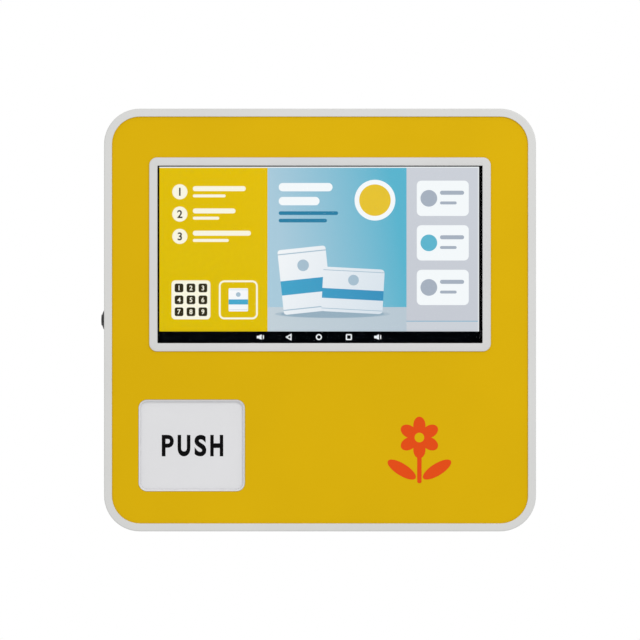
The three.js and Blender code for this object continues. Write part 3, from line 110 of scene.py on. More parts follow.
class Nodes:
    """A small builder of shader nodes for one material or world."""

    def __init__(self, owner: ID, output: str = "OutputMaterial") -> None:
        """Start the owner's node tree afresh.

        Args:
            owner: The material or world.
            output: Kind of its output node.
        """
        self.owner = owner
        owner.use_nodes = True
        owner.node_tree.nodes.clear()
        self.output = self.add(output)

    @cached_property
    def coords(self) -> NodeSocket:
        """Return object coordinates."""
        return self.add("TexCoord").outputs["Object"]

    def feed(self, socket: NodeSocket, value: Feed) -> None:
        """Link a socket to an input, or set the input's own constant."""
        if isinstance(value, NodeSocket):
            self.owner.node_tree.links.new(value, socket)
        else:
            socket.default_value = (*value, 1) if socket.type == "RGBA" else value

    def add(self, kind: str, inputs: dict[str | int, Feed] | None = None, **settings: str | float) -> Node:
        """Add a node, set its properties and feed its inputs.

        Args:
            kind: The node type without its ShaderNode prefix.
            inputs: Sockets or constants by the input's name or number.
            **settings: Properties of the node by name.

        Returns:
            The new node.
        """
        node = self.owner.node_tree.nodes.new("ShaderNode" + kind)
        for key, value in settings.items():
            setattr(node, key, value)
        for key, value in (inputs or {}).items():
            self.feed(node.inputs[key], value)
        return node

    def surface(self, shader: Node) -> None:
        """Connect a shader to the output."""
        self.feed(self.output.inputs["Surface"], shader.outputs[0])

    def noise(self, scale: float, detail: float = 3, stretch: Grain | None = None) -> NodeSocket:
        """Return a noise value from 0 to 1.

        Args:
            scale: Cells per metre.
            detail: Octaves.
            stretch: Factors along the axes, if any.

        Returns:
            The factor socket.
        """
        vector = self.coords
        if stretch:
            vector = self.add("Mapping", {"Scale": stretch.value, "Vector": vector}).outputs["Vector"]
        return self.add("TexNoise", {"Scale": scale, "Detail": detail, "Vector": vector}).outputs["Fac"]

    def span(self, value: NodeSocket, to_low: float = 0, to_high: float = 1, low: float = 0.3,
             high: float = 0.7) -> NodeSocket:
        """Return a value mapped to a range and clamped.

        Args:
            value: The socket to map.
            to_low: Result at low.
            to_high: Result at high.
            low: Where the input range starts.
            high: Where the input range ends.

        Returns:
            The result socket.
        """
        ends = {"From Min": low, "From Max": high, "To Min": to_low, "To Max": to_high}
        return self.add("MapRange", {"Value": value, **ends}).outputs["Result"]

    def mix(self, share: NodeSocket, first: Feed, second: Feed) -> NodeSocket:
        """Return a mix of two colours; the node's colour sockets are 6, 7 and 2."""
        return self.add("Mix", {"Factor": share, 6: first, 7: second}, data_type="RGBA").outputs[2]

    def combined(self, operation: str, first: Feed, second: Feed) -> NodeSocket:
        """Return the result of a math operation."""
        return self.add("Math", {0: first, 1: second}, operation=operation).outputs[0]

    def bump(self, height: NodeSocket, distance: float) -> NodeSocket:
        """Return a normal raised by a height, in metres for a height of 1."""
        return self.add("Bump", {"Strength": 1, "Distance": distance, "Height": height}).outputs["Normal"]

    def seen(self) -> NodeSocket:
        """Return 1 for rays from the camera and those by way of gloss or glass, otherwise 0."""
        path = self.add("LightPath").outputs
        direct = self.combined("MAXIMUM", path["Is Camera Ray"], path["Is Glossy Ray"])
        return self.combined("MAXIMUM", direct, path["Is Transmission Ray"])

    def principled(self, colour: Feed, roughness: Feed, normal: NodeSocket | None = None,
                   **others: Feed) -> None:
        """Add the surface shader and connect it to the output.

        Args:
            colour: Base colour.
            roughness: Roughness.
            normal: Normal socket, if any.
            **others: Other inputs, with underscores for spaces.
        """
        inputs = {"Base Color": colour, "Roughness": roughness}
        if normal is not None:
            inputs["Normal"] = normal
        inputs |= {key.replace("_", " "): value for key, value in others.items()}
        self.surface(self.add("BsdfPrincipled", inputs))


@dataclass(frozen=True)
class Finish:
    """What a surface is made of; each kind shades a material of its own."""

    name: str

    @cached_property
    def material(self) -> Material:
        """Return the finish as a material, made at its first use."""
        nodes = Nodes(bpy.data.materials.new(self.name))
        self.shade(nodes)
        return nodes.owner

    def shade(self, nodes: Nodes) -> None:
        """Build the surface from nodes."""
        raise NotImplementedError


@dataclass(frozen=True)
class Plastic(Finish):
    """A moulded plastic: even colour with faint clouds, uneven gloss and a fine spark-eroded grain."""

    colour: Colour
    roughness: float = 0.4
    grain: float = 2600.0
    gloss: float = 0.5
    relief: float = 0.008 * MM
    clouds: Point2 = (14.0, 3.0)
    cloud_ends: Point2 = (0.3, 0.7)
    tones: Point2 = (0.975, 1.0)
    patches: Point2 = (120.0, 2.0)
    spread: float = 0.04

    def shade(self, nodes: Nodes) -> None:
        """Build the surface from nodes."""
        low, high = self.cloud_ends
        cloud = nodes.span(nodes.noise(*self.clouds), low=low, high=high)
        dark, pale = (toned(self.colour, factor) for factor in self.tones)
        patches = nodes.noise(*self.patches)
        rough = nodes.span(patches, self.roughness - self.spread, self.roughness + self.spread)
        skin = nodes.bump(nodes.noise(self.grain, 2), self.relief)
        nodes.principled(nodes.mix(cloud, dark, pale), rough, skin, Specular_IOR_Level=self.gloss)


@dataclass(frozen=True)
class PowderCoat(Plastic):
    """A sprayed and baked coat: even colour with a faint orange-peel skin."""

    roughness: float = 0.42
    grain: float = 1400.0
    gloss: float = 0.4
    relief: float = 0.012 * MM
    clouds: Point2 = (9.0, 2.0)
    cloud_ends: Point2 = (0.35, 0.65)
    tones: Point2 = (0.985, 1.015)
    patches: Point2 = (60.0, 3.0)
    spread: float = 0.03


@dataclass(frozen=True)
class Sheet(Finish):
    """A plated or bare metal with the lines of its rolling or brushing."""

    colour: Colour
    grain: Grain = Grain.ROUND
    roughness: float = 0.34
    scale: float = 55.0
    metal: float = 1.0
    contrast: float = 0.14
    detail: float = 4.0
    spread: Point2 = (-0.06, 0.08)
    relief: float = 0.015 * MM

    def shade(self, nodes: Nodes) -> None:
        """Build the surface from nodes."""
        lines = nodes.noise(self.scale, self.detail, self.grain)
        colour = nodes.mix(nodes.span(lines), toned(self.colour, 1 - self.contrast), self.colour)
        rough = nodes.span(lines, *(self.roughness + by for by in self.spread))
        nodes.principled(colour, rough, nodes.bump(lines, self.relief), Metallic=self.metal)


@dataclass(frozen=True)
class Rubber(Finish):
    """Soft dark rubber with a dull bloom."""

    colour: Colour = (0.012, 0.012, 0.013)
    paler: float = 1.9
    bloom: Point2 = (35.0, 4.0)
    bloom_ends: Point2 = (0.4, 0.75)
    roughness: float = 0.72
    grain: float = 2200.0
    relief: float = 0.02 * MM

    def shade(self, nodes: Nodes) -> None:
        """Build the surface from nodes."""
        low, high = self.bloom_ends
        bloom = nodes.span(nodes.noise(*self.bloom), low=low, high=high)
        skin = nodes.bump(nodes.noise(self.grain, 2), self.relief)
        nodes.principled(nodes.mix(bloom, self.colour, toned(self.colour, self.paler)), self.roughness, skin)


@dataclass(frozen=True)
class ClearGlass(Finish):
    """The cover glass: clear, thin and nearly without tint."""

    tint: Colour = (0.985, 0.99, 0.99)
    smears: float = 20.0
    roughness: float = 0.015
    index: float = 1.05

    def shade(self, nodes: Nodes) -> None:
        """Build the surface from nodes."""
        haze = nodes.span(nodes.noise(self.smears), 0, self.roughness)
        nodes.principled(self.tint, haze, Transmission_Weight=1.0, IOR=self.index)


@dataclass(frozen=True)
class Glow(Finish):
    """A lit area of the picture: a ramp between two colours across the screen.

    The ramp runs from first to second along the direction (across, up), in metres from the middle.
    """

    first: Colour
    second: Colour
    across: float = 0.0
    up: float = 0.0
    start: float = -0.1
    end: float = 0.1
    grain: float = 900.0
    uneven: Point2 = (0.99, 1.01)
    roughness: float = 0.3

    def shade(self, nodes: Nodes) -> None:
        """Build the surface from nodes."""
        way = {0: nodes.coords, 1: (self.across, 0, self.up)}
        along = nodes.add("VectorMath", way, operation="DOT_PRODUCT").outputs["Value"]
        ramp = nodes.span(along, low=self.start, high=self.end)
        grain = nodes.span(nodes.noise(self.grain, 1), *self.uneven, 0, 1)
        light = nodes.mix(grain, BLACK, nodes.mix(ramp, self.first, self.second))
        nodes.principled(BLACK, self.roughness, Specular_IOR_Level=0.0, Emission_Color=light,
                         Emission_Strength=1.0)


@dataclass(frozen=True)
class BoardGreen(Finish):
    """A circuit board: solder mask over fine copper tracks."""

    mask: Colour = linear(24, 92, 58)
    track: Colour = linear(52, 128, 84)
    scale: float = 160.0
    line: float = 0.06
    brick: Point2 = (0.9, 0.22)
    roughness: float = 0.38
    relief: float = 0.03 * MM

    def shade(self, nodes: Nodes) -> None:
        """Build the surface from nodes."""
        turn = {"Rotation": (math.pi / 2, 0, 0), "Vector": nodes.coords}
        wide, tall = self.brick
        pattern = {"Vector": nodes.add("Mapping", turn).outputs["Vector"], "Scale": self.scale,
                   "Mortar Size": self.line, "Brick Width": wide, "Row Height": tall}
        tracks = nodes.add("TexBrick", pattern, offset=0.5, squash=1.0).outputs["Fac"]
        colour = nodes.mix(nodes.span(tracks, low=0, high=1), self.mask, self.track)
        nodes.principled(colour, self.roughness, nodes.bump(tracks, self.relief))


WHITE_COAT = PowderCoat("white_coat", linear(216, 216, 214))
YELLOW = PowderCoat("yellow_coat", linear(222, 179, 1), 0.5, gloss=0.06)
BEZEL_WHITE = Plastic("bezel_white", linear(214, 214, 213), 0.38)
FLAP_WHITE = Plastic("flap_white", linear(226, 226, 228))
GLASS = ClearGlass("cover_glass")
DISPLAY_BLACK = Plastic("display_black", linear(5, 5, 6), 0.3, 500, 0.02)
BLACK_GLOSS = PowderCoat("black_gloss", linear(9, 9, 10), 0.34, 900, 0.05)
BLACK_PLASTIC = Plastic("black_plastic", linear(26, 26, 27), 0.5)
INK = Plastic("black_ink", linear(8, 8, 9), 0.5, 700, 0.03)
ORANGE = PowderCoat("orange_ink", linear(231, 78, 18), 0.5, gloss=0.08)
ZINC = Sheet("zinc_sheet", linear(172, 176, 181), roughness=0.42, metal=0.72)
LONG_ZINC = Sheet("zinc_sheet_long", linear(176, 179, 184), Grain.ACROSS, 0.4, 6, 0.75, 0.09)
DARK_NICKEL = Sheet("dark_nickel", linear(46, 46, 48), roughness=0.3)
DISPLAY_CAN = Sheet("display_can", linear(120, 123, 127), Grain.ALONG_Z, 0.45, 5, 0.8, 0.08)
STEEL = Sheet("bright_steel", linear(205, 207, 210), Grain.ACROSS, 0.22, 8)
BRASS = Sheet("turned_brass", linear(205, 170, 92), Grain.ACROSS, 0.26, 8)
ALUMINIUM = Sheet("turned_aluminium", linear(206, 208, 211), Grain.ACROSS, 0.3, 8)
MOTOR_CAN = Sheet("motor_can", linear(96, 98, 104), Grain.ACROSS, 0.38, 8)
RUBBER = Rubber("seal_rubber")
NYLON = Plastic("natural_nylon", linear(232, 229, 218), 0.5)
BOARD_GREEN = BoardGreen("board_green")
CHIP_AND_SHADE_BLACK = Plastic("chip_and_shade_black", linear(24, 25, 27), 0.45, 900)
CONE = Rubber("speaker_cone", (0.03, 0.03, 0.032))
SUPPLY_SHELL = Sheet("supply_aluminium", linear(178, 181, 184), Grain.ALONG_Z, 0.42, 6, 0.75, 0.08)


@dataclass(frozen=True)
class Loop:
    """A rectangle with round corners, square to the depth axis, in metres."""

    width: float
    height: float
    radius: float = 0.0
    y: float = 0.0
    centre: Point2 = (0.0, 0.0)
    steps: int = 14

    @classmethod
    def round_node(cls, node: str, radius: float) -> "Loop":
        """Return the loop round a CAD node as seen from the front."""
        low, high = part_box(node)
        return cls(high.x - low.x, high.z - low.z, radius, 0, ((low.x + high.x) / 2, (low.z + high.z) / 2))

    def face(self, bm: BMesh) -> BMFace:
        """Draw the loop as one face that looks towards -Y, and return the face."""
        verts = bmesh.ops.create_grid(bm, x_segments=1, y_segments=1, size=0.5)["verts"]
        place = (Matrix.Translation((self.centre[0], self.y, self.centre[1])) @ UPRIGHT
                 @ Matrix.Diagonal((self.width, self.height, 1, 1)))
        bmesh.ops.transform(bm, matrix=place, verts=verts)
        if self.radius <= 0:
            return verts[0].link_faces[0]
        made = bmesh.ops.bevel(bm, geom=verts, offset=self.radius, offset_type="OFFSET", affect="VERTICES",
                               segments=self.steps, profile=0.5, material=-1)
        faces = (face for vert in made["verts"] for face in vert.link_faces)
        return max(faces, key=lambda face: len(face.verts))

    def inset(self, by: float, y: float) -> "Loop":
        """Return the loop drawn in by a distance, at another depth."""
        radius = max(self.radius - by, 0.6 * MM)
        return Loop(self.width - 2 * by, self.height - 2 * by, radius, y, self.centre, self.steps)

    def corner(self, co: Vector) -> Vector:
        """Return the centre of the corner arc nearest to a point."""
        x = math.copysign(self.width / 2 - self.radius, co.x - self.centre[0])
        z = math.copysign(self.height / 2 - self.radius, co.z - self.centre[1])
        return Vector((self.centre[0] + x, self.y, self.centre[1] + z))

    def stepped(self, bm: BMesh, edges: Iterable[BMEdge], before: "Loop") -> list[BMEdge]:
        """Extrude another loop's edges on to this one.

        Args:
            bm: The mesh.
            edges: Edges that lie on the other loop.
            before: The other loop, with as many steps at its corners.

        Returns:
            The new edges, which lie on this loop.
        """
        verts, made = extruded(bm, edges)
        for vert in verts:
            arm = (vert.co - before.corner(vert.co)) * (self.radius / before.radius)
            vert.co = self.corner(vert.co) + arm
        return made


def extruded(bm: BMesh, edges: Iterable[BMEdge]) -> tuple[set[BMVert], list[BMEdge]]:
    """Extrude edges in place and return the new vertices, and the new edges between them."""
    made = bmesh.ops.extrude_edge_only(bm, edges=list(edges))["geom"]
    verts = {item for item in made if isinstance(item, BMVert)}
    return verts, [item for item in made if isinstance(item, BMEdge) and verts.issuperset(item.verts)]


def filleted(corners: Sequence[Point3], closed: bool = True, steps: int = 4) -> list[Point2]:
    """Round the corners of a profile.

    Args:
        corners: Points as (across, along, radius).
        closed: Whether the last point joins the first.
        steps: Pieces of each arc.

    Returns:
        The points of the rounded profile.
    """
    points: list[Point2] = []
    count = len(corners)
    for i, (across, along, radius) in enumerate(corners):
        if radius <= 0 or (not closed and i in (0, count - 1)):
            points.append((across, along))
            continue
        here = Vector((across, along))
        before = (Vector(corners[i - 1][:2]) - here).normalized()
        after = (Vector(corners[(i + 1) % count][:2]) - here).normalized()
        half = before.angle(after) / 2
        middle = here + (before + after).normalized() * (radius / math.sin(half))
        start, end = (here + way * (radius / math.tan(half)) - middle for way in (before, after))
        turn = start.angle_signed(end)
        for step in range(steps + 1):
            arm = start.copy()
            arm.rotate(Matrix.Rotation(-turn * step / steps, 2))
            points.append(tuple(middle + arm))
    return points


def creased(bm: BMesh, crease: float = 32.0) -> None:
    """Shade every face smooth and keep the edges sharp that turn past an angle in degrees."""
    for edge in bm.edges:
        edge.smooth = not (edge.is_manifold and edge.calc_face_angle(0) > math.radians(crease))
    for face in bm.faces:
        face.smooth = True


def linked(name: str, data: ID) -> Object:
    """Return a new object in the scene."""
    obj = bpy.data.objects.new(name, data)
    bpy.context.scene.collection.objects.link(obj)
    return obj


def baked(obj: Object) -> Mesh:
    """Return an object's shape, modifiers included, as a new mesh."""
    graph = bpy.context.evaluated_depsgraph_get()
    return bpy.data.meshes.new_from_object(obj.evaluated_get(graph), depsgraph=graph)


@contextmanager
def edited(mesh: Mesh) -> Iterator[BMesh]:
    """Open a mesh as a bmesh and write it back at the end."""
    bm = bmesh.new()
    bm.from_mesh(mesh)
    yield bm
    bm.to_mesh(mesh)
    bm.free()


def finished(name: str, bm: BMesh, *finishes: Finish, smooth: bool = True, crease: float = 32.0) -> Object:
    """Turn a bmesh into an object.

    Args:
        name: The object's name.
        bm: The mesh, which is freed.
        *finishes: Its finishes.
        smooth: Whether faces are shaded smooth.
        crease: Angle in degrees past which an edge stays sharp.

    Returns:
        The new object.
    """
    if smooth:
        creased(bm, crease)
    mesh = bpy.data.meshes.new(name)
    bm.to_mesh(mesh)
    bm.free()
    for finish in finishes:
        mesh.materials.append(finish.material)
    return linked(name, mesh)


def closed_up(name: str, bm: BMesh, *finishes: Finish, crease: float = 32.0) -> Object:
    """Turn a closed bmesh into an object, with its normals outward."""
    bmesh.ops.recalc_face_normals(bm, faces=bm.faces)
    return finished(name, bm, *finishes, crease=crease)


def shell(name: str, outline: Loop, profile: Sequence[Point2], *finishes: Finish,
          ring: bool = True) -> Object:
    """Sweep a profile round a rectangle with round corners.

    Args:
        name: The object's name.
        outline: The outermost loop.
        profile: Points as (distance in from the outline, depth y).
        *finishes: Its finish, or none for a tool.
        ring: False for a tray, whose first and last loops are closed by a face.

    Returns:
        The shell.
    """
    bm = bmesh.new()
    loops = [outline.inset(inset, y) for inset, y in profile]
    start = loops[0].face(bm)
    edges = list(start.edges)
    if ring:
        bmesh.ops.delete(bm, geom=[start], context="FACES_ONLY")
        loops.append(loops[0])
    for before, after in zip(loops, loops[1:]):
        edges = after.stepped(bm, edges, before)
    if ring:
        bmesh.ops.remove_doubles(bm, verts=bm.verts, dist=0.001 * MM)
    else:
        bmesh.ops.holes_fill(bm, edges=edges, sides=0)
    return closed_up(name, bm, *finishes)


def turned(name: str, profile: Sequence[Point2], axis: Axis, at: Vector, *finishes: Finish,
           steps: int = 28) -> Object:
    """Turn a profile into a round piece.

    Args:
        name: The object's name.
        profile: Points as (radius, distance along the axis), closed by the axis where the radius is zero.
        axis: The direction of the axis.
        at: A point on the axis from which the distances count.
        *finishes: Its finish, or none for a tool.
        steps: Steps round the axis.

    Returns:
        The round piece.
    """
    bm = bmesh.new()
    verts = [bm.verts.new((radius, 0, along)) for radius, along in profile]
    edges = [bm.edges.new(pair) for pair in zip(verts, verts[1:])]
    bmesh.ops.spin(bm, geom=verts + edges, cent=(0, 0, 0), axis=UP, angle=2 * math.pi, steps=steps,
                   use_merge=True)
    bmesh.ops.remove_doubles(bm, verts=bm.verts, dist=1e-7)
    bmesh.ops.transform(bm, matrix=Matrix.Translation(at) @ axis.turn, verts=bm.verts)
    return closed_up(name, bm, *finishes)


def block(low: Sequence[float], high: Sequence[float], *finishes: Finish, soft: float = 0.0) -> Object:
    """Make a block between two corners.

    Args:
        low: Lowest corner.
        high: Highest corner.
        *finishes: Its finish, or none for a tool.
        soft: Radius of the edges.

    Returns:
        The block.
    """
    bm = bmesh.new()
    low, high = Vector(low), Vector(high)
    place = Matrix.Translation((low + high) / 2) @ Matrix.Diagonal((*(high - low), 1))
    bmesh.ops.create_cube(bm, size=1, matrix=place)
    if soft > 0:
        bmesh.ops.bevel(bm, geom=bm.edges, offset=soft, segments=3, profile=0.5, affect="EDGES", material=-1)
    return finished("block", bm, *finishes)


def merged(name: str, pieces: Sequence[Object], thick: float = 0) -> Object:
    """Join pieces into one object.

    Args:
        name: Name of the result.
        pieces: Objects that sit at the origin.
        thick: Depth in metres that flat shapes gain behind their face, or 0 for none.

    Returns:
        The joined object.
    """
    bm = bmesh.new()
    materials: list[Material] = []
    for piece in pieces:
        start = len(bm.faces)
        bm.from_mesh(piece.data)
        bm.faces.ensure_lookup_table()
        for face in bm.faces[start:]:
            face.material_index += len(materials)
        materials.extend(piece.data.materials)
        bpy.data.objects.remove(piece, do_unlink=True)
    if thick:
        bmesh.ops.solidify(bm, geom=bm.faces[:], thickness=thick)
    distinct = list(dict.fromkeys(materials))
    for face in bm.faces:
        face.material_index = distinct.index(materials[face.material_index])
    joined = finished(name, bm, smooth=False)
    for material in distinct:
        joined.data.materials.append(material)
    return joined


def carved(obj: Object, cutters: Sequence[Object], even: bool = True) -> Object:
    """Cut tools out of a piece and delete the tools.

    Args:
        obj: The piece.
        cutters: Closed tools.
        even: Whether large faces lead the shading, so that flat walls look flat up to their rounded edges.

    Returns:
        The piece, with its mesh replaced.
    """
    for tool in cutters:
        cut = obj.modifiers.new("cut", "BOOLEAN")
        cut.operation = "DIFFERENCE"
        cut.solver = "EXACT"
        cut.object = tool
        mesh = baked(obj)
        obj.modifiers.clear()
        obj.data = mesh
        bpy.data.objects.remove(tool, do_unlink=True)
    with edited(obj.data) as bm:
        bmesh.ops.remove_doubles(bm, verts=bm.verts, dist=MERGE)
        creased(bm)
    if even:
        shading = obj.modifiers.new("even_shading", "WEIGHTED_NORMAL")
        shading.mode = "FACE_AREA"
        shading.weight = 90
        shading.keep_sharp = True
    return obj


def worked_copy(node: str, name: str, finish: Finish, soft: float = 0.3 * MM) -> Object:
    """Copy a CAD node as one clean mesh with softened edges.

    Args:
        node: The CAD node, which the copy replaces.
        name: Name of the copy.
        finish: The finish.
        soft: Size of the bevel, or 0 for none.

    Returns:
        The copy.
    """
    bm = bmesh.new()
    bm.from_mesh(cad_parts[node].data)
    bmesh.ops.remove_doubles(bm, verts=bm.verts, dist=MERGE)
    bmesh.ops.dissolve_limit(bm, angle_limit=math.radians(0.8), verts=bm.verts, edges=bm.edges)
    copy = finished(name, bm, finish)
    if soft > 0:
        bevel = copy.modifiers.new("soft_edges", "BEVEL")
        bevel.width = soft
        bevel.segments = 2
        bevel.limit_method = "ANGLE"
        bevel.angle_limit = math.radians(38)
        bevel.use_clamp_overlap = True
        bevel.harden_normals = True
    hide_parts(node)
    return copy


def seated(obj: Object, body: str, slot: str, *nodes: str) -> Object:
    """Hang a finished piece on its body and report it.

    Args:
        obj: The piece.
        body: The body that it moves with.
        slot: The record's material slot; not used.
        *nodes: CAD nodes that it stands for.

    Returns:
        The piece.
    """
    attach(obj, body)
    if nodes:
        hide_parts(*nodes)
    log.info("%s on %s, %d faces", obj.name, body, len(obj.data.polygons))
    return obj


def dressed(node: str, name: str, finish: Finish, body: str, slot: str, soft: float = 0.3) -> Object:
    """Seat a worked copy of a CAD node on its body, with edges softened by a size in millimetres."""
    return seated(worked_copy(node, name, finish, soft * MM), body, slot)


def painted(obj: Object, finish: Finish, where: FaceTest) -> None:
    """Give another finish to the faces of a piece that pass a test."""
    obj.data.materials.append(finish.material)
    for face in obj.data.polygons:
        if where(face):
            face.material_index = len(obj.data.materials) - 1


def pointed(obj: Object, direction: Vector, at: Vector) -> Object:
    """Turn a piece modelled about +Z so that it points along a direction, and place it."""
    turn = UP.rotation_difference(direction).to_matrix().to_4x4()
    obj.data.transform(Matrix.Translation(at) @ turn)
    return obj


def screw_head(at: Vector, direction: Vector, radius: float, finish: Finish) -> Object:
    """Make a round screw head with a cross in it.

    Args:
        at: Where it sits.
        direction: Where it looks.
        radius: Its radius.
        finish: The finish.

    Returns:
        The head.
    """
    shares = ((0, 0), (1, 0), (1, 0.3), (0.86, 0.58), (0.5, 0.74), (0, 0.8))
    profile = [(across * radius, along * radius) for across, along in shares]
    head = turned("screw_head", profile, Axis.Z, Vector(), finish)
    half, arm = radius * 0.11, radius * 0.55
    for x, y in ((arm, half), (half, arm)):
        head = carved(head, [block((-x, -y, radius * 0.45), (x, y, radius))], even=False)
    return pointed(head, direction, at)


@dataclass
class SheetForm:
    """What the case and the door frame share: corner, wall, hinge notches and the tools that cut."""

    corner: float = 38.5 * MM
    wall: float = 1.5 * MM
    notch_half: float = 27.1 * MM
    notch_wide: float = 6 * MM
    hinge_z: float = 140 * MM
    over: float = 3 * MM
    tools: list[Object] = field(default_factory=list)

    def cut(self, low: Sequence[float], high: Sequence[float]) -> None:
        """Add a block that cuts."""
        self.tools.append(block(low, high))

    def drill(self, radius: float, reach: float, axis: Axis, at: Vector) -> None:
        """Add a round tool that cuts to both sides of a wall at a distance along its axis."""
        low, high = reach - self.over, reach + self.over
        profile = [(0, low), (radius, low), (radius, high), (0, high)]
        self.tools.append(turned("tool", profile, axis, at, steps=48))

    def notch(self, low: Point2, high: Point2) -> None:
        """Add the tools of both hinge notches between two corners seen from above."""
        for z in (-self.hinge_z, self.hinge_z):
            self.cut((*low, z - self.notch_half), (*high, z + self.notch_half))


@dataclass
class Case(SheetForm):
    """The rear case: a folded tray with a lip round its mouth, the seal on the lip and the holes."""

    lip: float = 12 * MM
    edge: float = 1.6 * MM
    seal_inset: float = 6.7 * MM
    seal_width: float = 5 * MM
    keyhole_x: float = 150 * MM
    keyhole_z: tuple[float, float] = (-211.5 * MM, 199.5 * MM)
    keyhole_radius: float = 6 * MM
    keyhole_slot: Point2 = (6 * MM, 14 * MM)
    vent_size: Point2 = (40 * MM, 4 * MM)
    vent_pitch: float = 9 * MM
    slot_size: Point2 = (3 * MM, 25 * MM)
    slots: Sequence[int] = range(-2, 3)
    flange: float = 1.7 * MM
    lock_hole: float = 9.8 * MM
    notch_deep: float = 1.8 * MM

    def __post_init__(self) -> None:
        """Read the case's own corners from the frame."""
        self.low, self.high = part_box("rear_case")

    def keyholes(self) -> None:
        """Add the tools of the four wall-screw holes in the back."""
        half, rise = self.keyhole_slot[0] / 2, self.keyhole_slot[1]
        for x in (-self.keyhole_x, self.keyhole_x):
            for z in self.keyhole_z:
                self.drill(self.keyhole_radius, 0, Axis.Y, Vector((x, 0, z)))
                self.cut((x - half, -self.over, z), (x + half, self.over * 1.1, z + rise))

    def vents(self) -> None:
        """Add the tools of the air slots in the top."""
        half = self.vent_size[0] / 2
        for x in (-self.keyhole_x, self.keyhole_x):
            for i in self.slots:
                y = self.low.y / 2 + i * self.vent_pitch
                self.cut((x - half, y, self.high.z - self.over),
                         (x + half, y + self.vent_size[1], self.high.z + self.over))

    def floor_holes(self) -> None:
        """Add the tools of the openings in the underside."""
        middle = centre_of("loudspeaker")
        half_x, half_y = self.slot_size[0] / 2, self.slot_size[1] / 2
        z0, z1 = self.low.z - self.over, self.low.z + self.over
        for i in self.slots:
            x = middle.x + i * 2 * self.slot_size[0]
            self.cut((x - half_x, middle.y - half_y, z0), (x + half_x, middle.y + half_y, z1))
        for node in ("power_inlet", "switch_housing"):
            low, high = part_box(node)
            rim = self.flange
            self.cut((low.x + rim, low.y + rim, z0), (high.x - rim, high.y - rim, z1))

    def side_holes(self) -> None:
        """Add the tools of the lock's hole and of the notches for the hinges."""
        centre = centre_of("lock_body")
        self.drill(self.lock_hole, self.low.x, Axis.X, Vector((0, centre.y, centre.z)))
        self.notch((self.high.x - self.notch_wide, self.low.y - self.over),
                   (self.high.x - self.wall, self.low.y + self.notch_deep))

    def build(self) -> None:
        """Make the case and its seal."""
        front, back = self.low.y, self.high.y
        inner = self.wall + self.lip
        profile = filleted([
            (self.wall, back - self.wall, 0),
            (self.wall, front + self.wall, 0.8 * MM),
            (inner, front + self.wall, 0.2 * MM),
            (inner, front, 0.2 * MM),
            (0, front, 0.9 * MM),
            (0, back, self.edge),
            (self.edge + 0.6 * MM, back, 0),
        ], closed=False)
        outline = Loop.round_node("rear_case", self.corner)
        body = shell("case_shell", outline, profile, WHITE_COAT, ring=False)
        for add_tools in (self.keyholes, self.vents, self.floor_holes, self.side_holes):
            add_tools()
        seated(carved(body, self.tools), "root", "white_paint", "rear_case")
        low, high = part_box("door_gasket")
        bead = filleted([(0, low.y, 1 * MM), (self.seal_width, low.y, 1 * MM),
                         (self.seal_width, high.y, 0.4 * MM), (0, high.y, 0.4 * MM)])
        track = Loop.round_node("door_gasket", self.corner - self.seal_inset)
        seated(shell("door_seal", track, bead, RUBBER), "root", "seal_rubber", "door_gasket")


